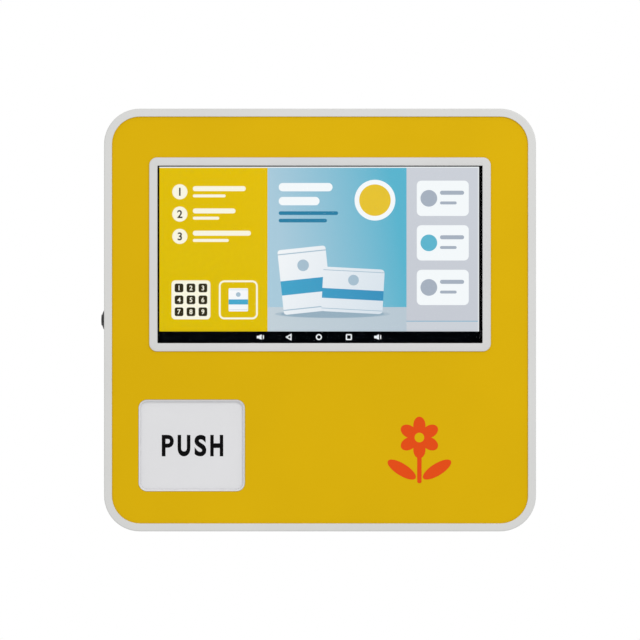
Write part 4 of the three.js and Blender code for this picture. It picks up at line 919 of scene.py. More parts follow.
@dataclass
class Door(SheetForm):
    """The door: white rim and side band, yellow panel, screen bezel, glass and display."""

    panel_inset: float = 1.8 * MM
    rim: float = 8.6 * MM
    fold: float = 9 * MM
    edge: float = 1.5 * MM
    bezel_corner: float = 8.5 * MM
    bezel_band: float = 8.9 * MM
    bezel_thick: float = 1.5 * MM
    seat_inset: float = 6.6 * MM
    neck_inset: float = 4.5 * MM
    lip_gap: float = 0.3 * MM
    lip_corner: float = 9 * MM
    lip_size: Point2 = (114.2 * MM, 98.3 * MM)
    lip_centre: Point2 = (-138.1 * MM, -135.1 * MM)
    notch_deep: float = 3.5 * MM

    def build(self) -> None:
        """Make the rim, the panel, the bezel, the glass and the display."""
        self.rim_and_band()
        self.panel()
        self.bezel()
        dressed("screen_glass", "cover_glass", GLASS, "door", "screen_glass", 0)
        display = dressed("lcd_panel", "display_module", DISPLAY_BLACK, "door", "display", 0.4)
        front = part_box("lcd_panel")[0].y
        painted(display, DISPLAY_CAN, lambda face: face.center.y > front + 1 * MM)

    def rim_and_band(self) -> None:
        """Make the white frame with the notches for its hinges."""
        low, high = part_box("door_frame")
        front, back = low.y, high.y
        profile = filleted([
            (0, front, self.edge),
            (self.rim, front, 0.35 * MM),
            (self.rim, front + self.wall, 0.1 * MM),
            (self.wall, front + self.wall, 0.8 * MM),
            (self.wall, back - self.wall, 0.8 * MM),
            (self.wall + self.fold, back - self.wall, 0.2 * MM),
            (self.wall + self.fold, back, 0.2 * MM),
            (0, back, 0.9 * MM),
        ])
        ring = shell("door_rim", Loop.round_node("door_frame", self.corner), profile, WHITE_COAT)
        self.notch((high.x - self.notch_wide, back - self.notch_deep), (high.x + self.over, back + self.over))
        seated(carved(ring, self.tools), "door", "white_paint", "door_frame")

    def panel(self) -> None:
        """Make the yellow panel with its two cut-outs."""
        low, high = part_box("front_panel")
        profile = [(2 * MM, high.y), (0, high.y), (0, low.y), (2 * MM, low.y)]
        outline = Loop.round_node("front_panel", self.corner - self.panel_inset)
        plate = shell("yellow_panel", outline, profile, YELLOW, ring=False)
        bezel_low, bezel_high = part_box("screen_bezel")
        inset = self.neck_inset - self.lip_gap
        ends = (high.y + self.over, low.y - self.over)
        screen_hole = block((bezel_low.x + inset, ends[1], bezel_low.z + inset),
                            (bezel_high.x - inset, ends[0], bezel_high.z - inset))
        sizes = (size + 2 * self.lip_gap for size in self.lip_size)
        lip = Loop(*sizes, self.lip_corner + self.lip_gap, 0, self.lip_centre)
        flap_hole = shell("tool", lip, [(0, y) for y in ends], ring=False)
        seated(carved(plate, [screen_hole, flap_hole]), "door", "yellow_panel", "front_panel")

    def bezel(self) -> None:
        """Make the screen's white frame, with a seat for the glass behind it."""
        low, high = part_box("screen_bezel")
        front, back = low.y, high.y
        seat = front + self.bezel_thick
        steps = ((self.bezel_band, seat), (self.seat_inset, seat), (self.seat_inset, back),
                 (self.neck_inset, back), (self.neck_inset, seat), (0, seat))
        profile = filleted([(0, front, 0.8 * MM), (self.bezel_band, front, 0.5 * MM),
                            *((*step, 0.1 * MM) for step in steps)])
        ring = shell("bezel_ring", Loop.round_node("screen_bezel", self.bezel_corner), profile, BEZEL_WHITE)
        seated(ring, "door", "white_plastic", "screen_bezel")


def printed(bm: BMesh, finish: Finish) -> Object:
    """Turn flat faces to the front and make them an object."""
    bm.normal_update()
    if sum(face.normal.y for face in bm.faces) > 0:
        bmesh.ops.reverse_faces(bm, faces=bm.faces)
    return finished("print", bm, finish, smooth=False)


def flat(loop: Loop, finish: Finish) -> Object:
    """Make one flat face with round corners that looks to the front."""
    bm = bmesh.new()
    loop.face(bm)
    return printed(bm, finish)


def disc(centre: Point2, radius: float, y: float, finish: Finish, sides: int = 48, squash: float = 1.0,
         turn: float = 0.0) -> Object:
    """Make a flat disc, or a polygon of few sides, that looks to the front.

    Args:
        centre: Its middle as (x, z).
        radius: Radius to a corner.
        y: Its depth.
        finish: The finish.
        sides: Number of sides.
        squash: Height as a share of the width.
        turn: Turn in radians.

    Returns:
        The flat piece.
    """
    bm = bmesh.new()
    place = (Matrix.Translation((centre[0], y, centre[1])) @ Matrix.Rotation(turn, 4, "Y")
             @ Matrix.Diagonal((1, 1, squash, 1)) @ UPRIGHT)
    bmesh.ops.create_circle(bm, cap_ends=True, segments=sides, radius=radius, matrix=place)
    return printed(bm, finish)


def annulus(outer: Loop, width: float, finish: Finish) -> Object:
    """Make a flat line of some width along the inside of a loop, which looks to the front."""
    bm = bmesh.new()
    face = outer.face(bm)
    edges = list(face.edges)
    bmesh.ops.delete(bm, geom=[face], context="FACES_ONLY")
    outer.inset(width, outer.y).stepped(bm, edges, outer)
    bmesh.ops.recalc_face_normals(bm, faces=bm.faces)
    return printed(bm, finish)


def lettered(text: str, centre: Point2, size: Point2, y: float, finish: Finish, weight: float = 0.0,
             thick: float = 0.0) -> Object:
    """Make a plain letter or digit of a given size.

    Args:
        text: One or more characters.
        centre: Its middle as (x, z).
        size: Width in metres, or 0 to keep the font's own, and height.
        y: Depth of its face.
        finish: The finish.
        weight: How far the strokes are widened, as a share of the height.
        thick: How far it stands out.

    Returns:
        The lettering as a mesh.
    """
    curve = bpy.data.curves.new("letters", "FONT")
    curve.body = text
    curve.offset = weight
    curve.extrude = 0.05 if thick else 0.0
    carrier = linked("letters", curve)
    mesh = baked(carrier)
    bpy.data.objects.remove(carrier, do_unlink=True)
    bm = bmesh.new()
    bm.from_mesh(mesh)
    bpy.data.meshes.remove(mesh)
    bmesh.ops.remove_doubles(bm, verts=bm.verts, dist=1e-5)
    low, high = (Vector(end(vert.co[i] for vert in bm.verts) for i in range(3)) for end in (min, max))
    own = high - low
    scale = size[1] / own.y
    across = size[0] / own.x if size[0] else scale
    deep = thick / own.z if thick else 1.0
    place = (Matrix.Translation((centre[0], y, centre[1])) @ UPRIGHT
             @ Matrix.Diagonal((across, scale, deep, 1))
             @ Matrix.Translation((-(low.x + high.x) / 2, -(low.y + high.y) / 2, -high.z)))
    bmesh.ops.transform(bm, matrix=place, verts=bm.verts)
    if thick:
        bmesh.ops.recalc_face_normals(bm, faces=bm.faces)
    return finished("letters", bm, finish, smooth=False)


class Tone(Enum):
    """The lit colours of the picture: first and second colour, direction and ends of the ramp."""

    YELLOW = ((221, 190, 12), (230, 192, 14), 0.6, 0.8, -0.09, 0.12)
    BLUE = ((170, 203, 220), (92, 181, 207), 1, 0.15, -0.03, 0.1)
    GREY = ((197, 201, 210), (205, 209, 217), 0.3, 1, -0.02, 0.18)
    SHELF = ((196, 209, 217), (186, 201, 212), 1, 0, -0.05, 0.1)
    PACKET = ((250, 251, 252), (206, 220, 232), 1, -0.5, -0.12, 0.12)
    BAND = ((74, 170, 206), (58, 140, 186), 1, 0, -0.08, 0.1)
    EDGE = ((232, 236, 238),)
    COUNTER = ((205, 210, 217),)
    LINE = ((126, 178, 204),)
    BAR = ((1, 2, 4),)
    DARK = ((52, 47, 30),)
    PALE = ((250, 246, 226),)
    CRIMP = ((168, 192, 208),)
    WHITE = ((246, 250, 252),)
    DEEP = ((48, 128, 164),)
    SUN = ((232, 196, 52),)
    SHADOW = ((152, 176, 192),)
    SOFT_SHADOW = ((174, 192, 204),)
    MID = ((168, 178, 192),)
    ACCENT = ((96, 182, 207),)
    SIGN = ((240, 243, 246),)

    @cached_property
    def finish(self) -> Glow:
        """Return the tone as a lit finish."""
        first, *rest = self.value
        second = rest[0] if rest else first
        return Glow("lit_" + self.name.lower(), linear(*first), linear(*second), *rest[1:])


class Shape(Enum):
    """The plain shapes that the picture is drawn with."""

    AREA = "area"
    PILL = "pill"
    SPOT = "spot"
    ARROW = "arrow"


@dataclass(frozen=True)
class Mark:
    """One shape of light in millimetres: its middle from an anchor, its size, its layer and its tone."""

    shape: Shape
    across: float
    up: float
    width: float
    height: float
    level: int
    tone: Tone
    radius: float = 0.0
    line: float = 0.0
    steps: int = 6


SPEAKER = (Mark(Shape.AREA, -2.4, 0, 3, 2.8, 4, Tone.SIGN),
           Mark(Shape.ARROW, -0.6, 0, 7.2, 7.2, 4, Tone.SIGN),
           Mark(Shape.AREA, 3.05, 0, 1.1, 4.4, 4, Tone.SIGN, 0.5))
BACK = (Mark(Shape.ARROW, 0, 0, 9, 9, 4, Tone.SIGN), Mark(Shape.ARROW, 0, 0, 4.2, 4.2, 5, Tone.BAR))
HOME = (Mark(Shape.AREA, 0, 0, 6.5, 6.5, 4, Tone.SIGN, 3.2, 1.3, 8),)
RECENT = (Mark(Shape.AREA, 0, 0, 6.5, 6.5, 4, Tone.SIGN, 1.0, 1.3, 8),)
SUN = (Mark(Shape.SPOT, 0, 0, 44, 44, 3, Tone.WHITE), Mark(Shape.SPOT, 0, 0, 34, 34, 4, Tone.SUN))
SHADOWS = (Mark(Shape.SPOT, 58, -7.5, 124, 8.68, 3, Tone.SOFT_SHADOW),
           Mark(Shape.SPOT, 58, -7.5, 112, 7.84, 4, Tone.SHADOW))
TITLE = (Mark(Shape.PILL, 29, -22, 58, 9, 3, Tone.WHITE), Mark(Shape.PILL, 22, -37, 44, 9, 3, Tone.WHITE),
         Mark(Shape.PILL, 32, -50, 64, 4, 3, Tone.DEEP), Mark(Shape.PILL, 26, -58, 52, 4, 3, Tone.DEEP))
CARD = (Mark(Shape.AREA, 0, 0, 56, 38, 3, Tone.WHITE, 5, steps=8),
        Mark(Shape.PILL, 10, 6, 26, 4.4, 4, Tone.MID), Mark(Shape.PILL, 6, -5, 18, 3.2, 4, Tone.MID))


@dataclass
class Picture:
    """What the lit screen shows: three fields of colour with plain numbered steps and simple shapes.

    Its sizes are in millimetres, and its layers are counted from the display forward.
    """

    left: float = -173.0
    right: float = 171.3
    top: float = 165.1
    bottom: float = -24.5
    border: float = 1.2
    bar_top: float = -12.3
    first_split: float = -56.5
    second_split: float = 93.2
    shelf_top: float = 13.9
    counter_top: float = -1.7
    line: float = 0.8
    margin: float = 13.0
    steps_drop: float = 27.0
    step_pitch: float = 24.0
    step_widths: tuple[float, ...] = (57.04, 46.0, 62.56)
    number_across: float = 9.0
    number_spot: float = 16.4
    number_height: float = 8.6
    step_text: float = 23.0
    step_lines: tuple[tuple[float, float, float], ...] = ((1.0, 3.4, 5.4), (0.62, -4.4, 3.2))
    tile: float = 42.0
    tile_gap: float = 9.0
    key: float = 9.4
    key_number: float = 5.2
    packet_crimps: tuple[tuple[float, float, Tone], ...] = (
        (-0.43, 0.016, Tone.CRIMP), (0.43, 0.016, Tone.CRIMP), (-0.09, 0.22, Tone.BAND))
    packet_dot: Point2 = (0.23, 0.24)
    small_packet: Point2 = (21.0, 25.0)
    packets: tuple[tuple[float, ...], ...] = ((28, 29, 52, 70, 5, -6), (80, 18, 66, 48, 8, 3))
    sun_corner: Point2 = (34.0, 36.0)
    shelf_inset: float = 12.0
    cards_drop: float = 34.0
    card_pitch: float = 48.0
    card_spot: Point2 = (-15.0, 18.0)
    signs: tuple[tuple[float, tuple[Mark, ...]], ...] = (
        (-64.1, SPEAKER), (-32.9, BACK), (-1.2, HOME), (31.1, RECENT), (62.3, SPEAKER))
    back_y: float = -146.02
    layer: float = 0.07
    made: list[Object] = field(default_factory=list)

    def depth(self, level: int) -> float:
        """Return the depth of a layer in metres."""
        return (self.back_y - level * self.layer) * MM

    def add(self, *marks: Mark, x: float = 0.0, z: float = 0.0) -> None:
        """Add shapes of light.

        Args:
            *marks: The shapes.
            x: Their anchor across.
            z: Their anchor up.
        """
        for mark in marks:
            centre = ((x + mark.across) * MM, (z + mark.up) * MM)
            y, lit, half = self.depth(mark.level), mark.tone.finish, mark.width / 2 * MM
            if mark.shape is Shape.SPOT:
                made = disc(centre, half, y, lit, squash=mark.height / mark.width)
            elif mark.shape is Shape.ARROW:
                made = disc(centre, half, y, lit, 3, turn=-math.pi / 2)
            else:
                radius = mark.height * 0.49 if mark.shape is Shape.PILL else mark.radius
                loop = Loop(mark.width * MM, mark.height * MM, radius * MM, y, centre, mark.steps)
                made = annulus(loop, mark.line * MM, lit) if mark.line else flat(loop, lit)
            self.made.append(made)

    def figure(self, number: int, x: float, z: float, height: float, level: int, tone: Tone) -> None:
        """Add a plain digit."""
        size = (0, height * MM)
        self.made.append(lettered(str(number), (x * MM, z * MM), size, self.depth(level), tone.finish, 0.02))

    def fields(self) -> None:
        """Lay down the three fields of colour, the shelves and the lower bar."""
        left, right, top, bar = self.left, self.right - self.border, self.top - self.border, self.bar_top
        first, second, counter = self.first_split, self.second_split, self.counter_top
        for x0, x1, z0, z1, level, tone in (
            (left, self.right, self.bottom, self.top, 0, Tone.EDGE),
            (left, first, bar, top, 1, Tone.YELLOW),
            (first, second, bar, top, 1, Tone.BLUE),
            (second, right, bar, top, 1, Tone.GREY),
            (first, second, bar, self.shelf_top, 2, Tone.SHELF),
            (second, right, bar, counter, 2, Tone.COUNTER),
            (second, right, counter, counter + self.line, 3, Tone.LINE),
            (left, self.right, self.bottom, bar, 2, Tone.BAR),
        ):
            self.add(Mark(Shape.AREA, (x0 + x1) / 2, (z0 + z1) / 2, x1 - x0, z1 - z0, level, tone))

    def steps(self) -> None:
        """Draw three numbered steps on the yellow field."""
        left = self.left + self.margin
        for i, bar in enumerate(self.step_widths):
            x, z = left + self.number_across, self.top - self.steps_drop - i * self.step_pitch
            self.add(Mark(Shape.SPOT, x, z, self.number_spot, self.number_spot, 3, Tone.PALE))
            self.figure(i + 1, x, z, self.number_height, 4, Tone.DARK)
            for share, up, thick in self.step_lines:
                line = Mark(Shape.PILL, bar * share / 2, up, bar * share, thick, 3, Tone.PALE)
                self.add(line, x=left + self.step_text, z=z)

    def tiles(self) -> None:
        """Draw a key pad and a tile with a packet below the steps."""
        left, low = self.left + self.margin, self.bar_top + self.margin
        side, key = self.tile, self.key
        z = low + side / 2
        self.add(Mark(Shape.AREA, left + side / 2, z, side, side, 3, Tone.PALE, 4))
        gap = (side - 3 * key) / 4
        for number in range(9):
            row, column = divmod(number, 3)
            at = (left + gap + key / 2 + column * (key + gap), low + side - gap - key / 2 - row * (key + gap))
            self.add(Mark(Shape.AREA, *at, key, key, 4, Tone.DARK, 2, steps=5))
            self.figure(number + 1, *at, self.key_number, 5, Tone.PALE)
        x = left + side * 1.5 + self.tile_gap
        self.add(Mark(Shape.AREA, x, z, side, side, 3, Tone.PALE, 6, 2, 8))
        self.packet(x, z, *self.small_packet, 3, 0)

    def packet(self, x: float, z: float, width: float, height: float, level: int, lean: float) -> None:
        """Draw a plain closed packet with crimped ends.

        Args:
            x: Its middle across.
            z: Its middle up.
            width: Its width.
            height: Its height.
            level: Layer of its body.
            lean: Lean in degrees.
        """
        start = len(self.made)
        self.add(Mark(Shape.AREA, 0, 0, width, height, level, Tone.PACKET, width * 0.06), x=x, z=z)
        for up, thick, tone in self.packet_crimps:
            self.add(Mark(Shape.AREA, 0, height * up, width, height * thick, level + 1, tone), x=x, z=z)
        up, share = self.packet_dot
        dot = min(width, height) * share
        self.add(Mark(Shape.SPOT, 0, height * up, dot, dot, level + 1, Tone.CRIMP), x=x, z=z)
        middle = Matrix.Translation((x * MM, 0, z * MM))
        turn = middle @ Matrix.Rotation(math.radians(lean), 4, "Y") @ middle.inverted()
        for piece in self.made[start:]:
            piece.data.transform(turn)

    def middle(self) -> None:
        """Draw a disc, bars and packets over the blue field and its shelf."""
        x, base = self.first_split + self.shelf_inset, self.shelf_top
        self.add(*SUN, x=self.second_split - self.sun_corner[0], z=self.top - self.sun_corner[1])
        self.add(*TITLE, x=x, z=self.top)
        self.add(*SHADOWS, x=x, z=base)
        for across, up, *others in self.packets:
            self.packet(x + across, base + up, *others)

    def side(self) -> None:
        """Draw three plain cards on the grey field."""
        x = (self.second_split + self.right) / 2
        across, wide = self.card_spot
        for i, tone in enumerate((Tone.MID, Tone.ACCENT, Tone.MID)):
            z = self.top - self.cards_drop - i * self.card_pitch
            self.add(*CARD, Mark(Shape.SPOT, across, 0, wide, wide, 4, tone), x=x, z=z)

    def lower_bar(self) -> None:
        """Draw the plain signs in the dark lower bar."""
        for x, marks in self.signs:
            self.add(*marks, x=x, z=(self.bar_top + self.bottom) / 2)

    def build(self) -> None:
        """Draw the whole picture as one piece on the display."""
        for draw in (self.fields, self.steps, self.tiles, self.middle, self.side, self.lower_bar):
            draw()
        seated(merged("lit_picture", self.made, self.layer * 0.8 * MM), "door", "display")


@dataclass
class Flap:
    """The delivery flap with its frame, pin and spring, and the plain word on it."""

    word: str = "PUSH"
    letter_height: float = 23.1 * MM
    letter_centres: tuple[float, ...] = (-164.1 * MM, -146.6 * MM, -128.9 * MM, -111.3 * MM)
    letter_widths: tuple[float, ...] = (12.9 * MM, 13.8 * MM, 12.7 * MM, 14.0 * MM)
    letter_weights: tuple[float, ...] = (0.026, 0.045, 0.037, 0.038)
    letter_z: float = -135.4 * MM
    ink_thick: float = 0.16 * MM
    leg_side: float = 4.2 * MM
    leg_front: float = 1.5 * MM
    leg_cut: float = 1.6 * MM
    leg_start: float = 0.4 * MM

    def build(self) -> None:
        """Make the frame, the flap, the word and the hardware."""
        dressed("flap_frame", "flap_surround", FLAP_WHITE, "door", "white_plastic", 0.16)
        dressed("flap", "flap_plate", FLAP_WHITE, "flap", "white_plastic", 0.35)
        dressed("flap_pin", "flap_pivot", STEEL, "door", "steel", 0.1)
        self.spring()
        self.lettering()

    def spring(self) -> None:
        """Make the return spring: its coil stays with the frame and its long leg goes with the flap."""
        axis = centre_of("flap_pin")
        side = centre_of("flap_spring").x + self.leg_side

        def on_leg(co: Vector, cut: float) -> bool:
            """Say whether a point lies on the long leg below a cut."""
            return co.x > side and co.y < axis.y - self.leg_front and co.z < axis.z - cut

        coil = worked_copy("flap_spring", "flap_return_spring", STEEL, 0)
        leg = linked("flap_spring_leg", coil.data.copy())
        for obj, keeps_leg, cut in ((coil, False, self.leg_cut), (leg, True, -self.leg_start)):
            with edited(obj.data) as bm:
                lost = [vert for vert in bm.verts if on_leg(vert.co, cut) != keeps_leg]
                bmesh.ops.delete(bm, geom=lost, context="VERTS")
                bmesh.ops.holes_fill(bm, edges=[edge for edge in bm.edges if edge.is_boundary], sides=0)
                bmesh.ops.recalc_face_normals(bm, faces=bm.faces)
                creased(bm)
        seated(coil, "door", "steel")
        seated(leg, "flap", "steel")

    def lettering(self) -> None:
        """Print the word on the flap, letter by letter."""
        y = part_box("flap")[0].y - self.ink_thick / 2
        rows = zip(self.word, self.letter_centres, self.letter_widths, self.letter_weights)
        letters = [
            lettered(sign, (x, self.letter_z), (width, self.letter_height), y, INK, weight, self.ink_thick)
            for sign, x, width, weight in rows
        ]
        seated(merged("flap_lettering", letters), "flap", "white_plastic")


@dataclass
class Motif:
    """The printed motif low on the right of the panel: a plain flower on a stem with two leaves."""

    head: Point2 = (107 * MM, -126.5 * MM)
    petals: int = 6
    reach: float = 13.2 * MM
    petal: Point2 = (9.2 * MM, 6.5 * MM)
    hub: Point2 = (7.8 * MM, 7.8 * MM)
    heart: Point2 = (5.2 * MM, 5.2 * MM)
    stem: Point2 = (4.6 * MM, 36 * MM)
    leaf: Point2 = (17.5 * MM, 6.4 * MM)
    leaf_place: Point2 = (19 * MM, -34.5 * MM)
    leaf_lean: float = math.radians(32)
    ink_gap: float = 0.12 * MM
    ink_step: float = 0.01 * MM
    ink_thick: float = 0.1 * MM
    pieces: list[Object] = field(default_factory=list)

    def depth(self) -> float:
        """Return the depth of the next printed shape."""
        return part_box("front_panel")[0].y - self.ink_gap - len(self.pieces) * self.ink_step

    def oval(self, place: Point2, size: Point2, turn: float = 0, ink: Finish = ORANGE) -> None:
        """Add an oval of ink.

        Args:
            place: Its middle, counted from the flower's head.
            size: Its two half axes.
            turn: Its lean in radians.
            ink: Its ink.
        """
        at = (self.head[0] + place[0], self.head[1] + place[1])
        self.pieces.append(disc(at, size[0], self.depth(), ink, squash=size[1] / size[0], turn=turn))

    def build(self) -> None:
        """Print the motif on the panel."""
        for i in range(self.petals):
            angle = math.pi / 2 + 2 * math.pi * i / self.petals
            self.oval((self.reach * math.cos(angle), self.reach * math.sin(angle)), self.petal, -angle)
        self.oval((0, 0), self.hub)
        self.oval((0, 0), self.heart, ink=YELLOW)
        for side in (-1, 1):
            self.oval((side * self.leaf_place[0], self.leaf_place[1]), self.leaf, -side * self.leaf_lean)
        middle = (self.head[0], self.head[1] - self.reach - self.stem[1] / 2)
        stem = Loop(*self.stem, self.stem[0] * 0.49, self.depth(), middle, 6)
        self.pieces.append(flat(stem, ORANGE))
        seated(merged("panel_motif", self.pieces, self.ink_thick), "door", "yellow_panel")


@dataclass
class Lock:
    """The cam lock in the left side: domed head, plug with key slot, nut, cam and the keeper."""

    head: float = 14.5 * MM
    dome: float = 22 * MM
    height: float = 6.2 * MM
    barrel: float = 9.5 * MM
    bore: float = 6.2 * MM
    head_gap: float = 0.3 * MM
    rim: float = 0.6 * MM
    fall: float = 0.3 * MM
    chamfer: float = 0.15 * MM
    end_chamfer: float = 0.4 * MM
    steps: int = 12
    sides: int = 72

    def build(self) -> None:
        """Make the lock's pieces."""
        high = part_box("lock_body")[1]
        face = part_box("rear_case")[0].x - self.head_gap
        centre = face - self.height + self.dome
        edge = centre - math.sqrt(self.dome ** 2 - self.head ** 2)
        arc = []
        for i in range(self.steps + 1):
            radius = self.bore + (self.head - self.rim - self.bore) * i / self.steps
            arc.append((radius, centre - math.sqrt(self.dome ** 2 - radius ** 2)))
        profile = [*arc, (self.head, edge + self.fall), (self.head, face - self.chamfer),
                   (self.head - self.chamfer, face), (self.barrel, face),
                   (self.barrel, high.x - self.end_chamfer), (self.barrel - self.end_chamfer, high.x),
                   (self.bore, high.x), arc[0]]
        middle = centre_of("lock_body")
        at = Vector((0, middle.y, middle.z))
        body = turned("lock_head", profile, Axis.X, at, BLACK_GLOSS, steps=self.sides)
        seated(body, "root", "black_lock", "lock_body")
        dressed("lock_nut", "lock_nut_hex", ZINC, "root", "steel")
        dressed("lock_plug", "lock_key_plug", DARK_NICKEL, "lock_turner", "steel", 0.15)
        dressed("lock_cam", "lock_cam_plate", ZINC, "lock_turner", "steel")
        dressed("lock_keeper", "lock_keeper_loop", ZINC, "door", "steel")


@dataclass
class Hinges:
    """The two concealed butt hinges at the right side."""

    names: tuple[str, str] = ("upper_hinge", "lower_hinge")

    def build(self) -> None:
        """Make both hinges from their leaves and pins."""
        for name in self.names:
            dressed(f"{name}_case_leaf", f"{name}_fixed_leaf", ZINC, "root", "steel", 0.2)
            dressed(f"{name}_door_leaf", f"{name}_moving_leaf", ZINC, "door", "steel", 0.2)
            dressed(f"{name}_pin", f"{name}_pivot", STEEL, "door", "steel", 0.2)


@dataclass
class Lane:
    """One vending lane: tray, pusher, threaded screw, coupler and gear motor."""

    name: str
    starts: int = 5
    lead: float = 20 * MM
    crest: float = 4.0 * MM
    thread_depth: float = 0.55 * MM
    ring_step: float = 1.0 * MM
    ring_sides: int = 60
    gearbox: float = 21 * MM
    sheet: float = 1.5 * MM
    plate: float = 2 * MM
    screw_drop: float = 9 * MM
    foot_inset: float = 7.2 * MM
    tray_screws: Point2 = (0.2, 0.8)
    foot_screws: Point2 = (0.25, 0.75)
    screw_radius: float = 3.2 * MM

    def build(self) -> None:
        """Make the lane's pieces."""
        name = self.name
        pusher, screw = f"{name}_pusher", f"{name}_screw"
        for kind, new, finish, body, slot, soft in (
            ("tray", "lane_tray", LONG_ZINC, "root", "steel", 0.3),
            ("pusher", "push_plate", ZINC, pusher, "steel", 0.4),
            ("pusher_nut", "nut_block", NYLON, pusher, "nylon", 0.5),
            ("bearing_block", "bearing", NYLON, "root", "nylon", 0.5),
            ("coupler", "shaft_coupler", ALUMINIUM, screw, "coupler_metal", 0.3),
            ("motor_bracket", "motor_plate", ZINC, "root", "steel", 0.3),
        ):
            dressed(f"{name}_{kind}", f"{name}_{new}", finish, body, slot, soft)
        motor = dressed(f"{name}_gear_motor", f"{name}_drive_motor", MOTOR_CAN, "root", "motor_can", 0.4)
        gearbox_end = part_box(f"{name}_gear_motor")[0].x + self.gearbox
        painted(motor, ALUMINIUM, lambda face: face.center.x < gearbox_end)
        self.thread(screw)
        self.screws()

    def screws(self) -> None:
        """Screw the tray and the motor plate to the back panel."""
        low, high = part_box(f"{self.name}_tray")
        foot_low, foot_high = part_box(f"{self.name}_motor_bracket")
        z = high.z - self.screw_drop
        wide, y = high.x - low.x, high.y - self.sheet
        places = [Vector((low.x + wide * share, y, z)) for share in self.tray_screws]
        foot_x, foot_y = foot_high.x - self.foot_inset, foot_high.y - self.plate
        tall = foot_high.z - foot_low.z
        places += [Vector((foot_x, foot_y, foot_low.z + tall * share)) for share in self.foot_screws]
        heads = [screw_head(at, FORWARD, self.screw_radius, STEEL) for at in places]
        seated(merged(f"{self.name}_lane_screws", heads), "root", "steel")

    def thread(self, body: str) -> None:
        """Make the screw as a lobed section that turns as it goes along."""
        node = f"{self.name}_lead_screw"
        low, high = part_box(node)
        middle = (low + high) / 2
        bm = bmesh.new()
        circle = bmesh.ops.create_circle(bm, segments=self.ring_sides, radius=self.crest, cap_ends=True)
        ring = circle["verts"]
        for vert in ring:
            wave = 0.5 - 0.5 * math.cos(self.starts * math.atan2(vert.co.y, vert.co.x))
            vert.co *= 1 - wave ** 2 * self.thread_depth / self.crest
        bmesh.ops.transform(bm, matrix=Axis.X.turn, verts=ring)
        count = round((high.x - low.x) / self.ring_step)
        step = (high.x - low.x) / count
        along = Matrix.Translation((step, 0, 0)) @ Matrix.Rotation(2 * math.pi * step / self.lead, 4, "X")
        edges = list(bm.edges)
        for _ in range(count):
            verts, edges = extruded(bm, edges)
            bmesh.ops.transform(bm, matrix=along, verts=list(verts))
        bmesh.ops.holes_fill(bm, edges=edges, sides=0)
        bmesh.ops.translate(bm, vec=(low.x, middle.y, middle.z), verts=bm.verts)
        screw = closed_up(f"{self.name}_thread", bm, STEEL, crease=60)
        seated(screw, body, "steel", node)


@dataclass
class Chute:
    """The drop shaft, the delivery bin and the light barrier in it."""

    sensors: tuple[str, str] = ("drop_sensor_emitter", "drop_sensor_receiver")

    def build(self) -> None:
        """Make the sheet-metal chute and its two sensors."""
        dressed("drop_shaft", "shaft_liner", ZINC, "root", "steel")
        dressed("delivery_bin", "bin_tray", WHITE_COAT, "root", "white_paint")
        for node in self.sensors:
            dressed(node, f"{node}_housing", BLACK_PLASTIC, "root", "black_plastic", 0.4)


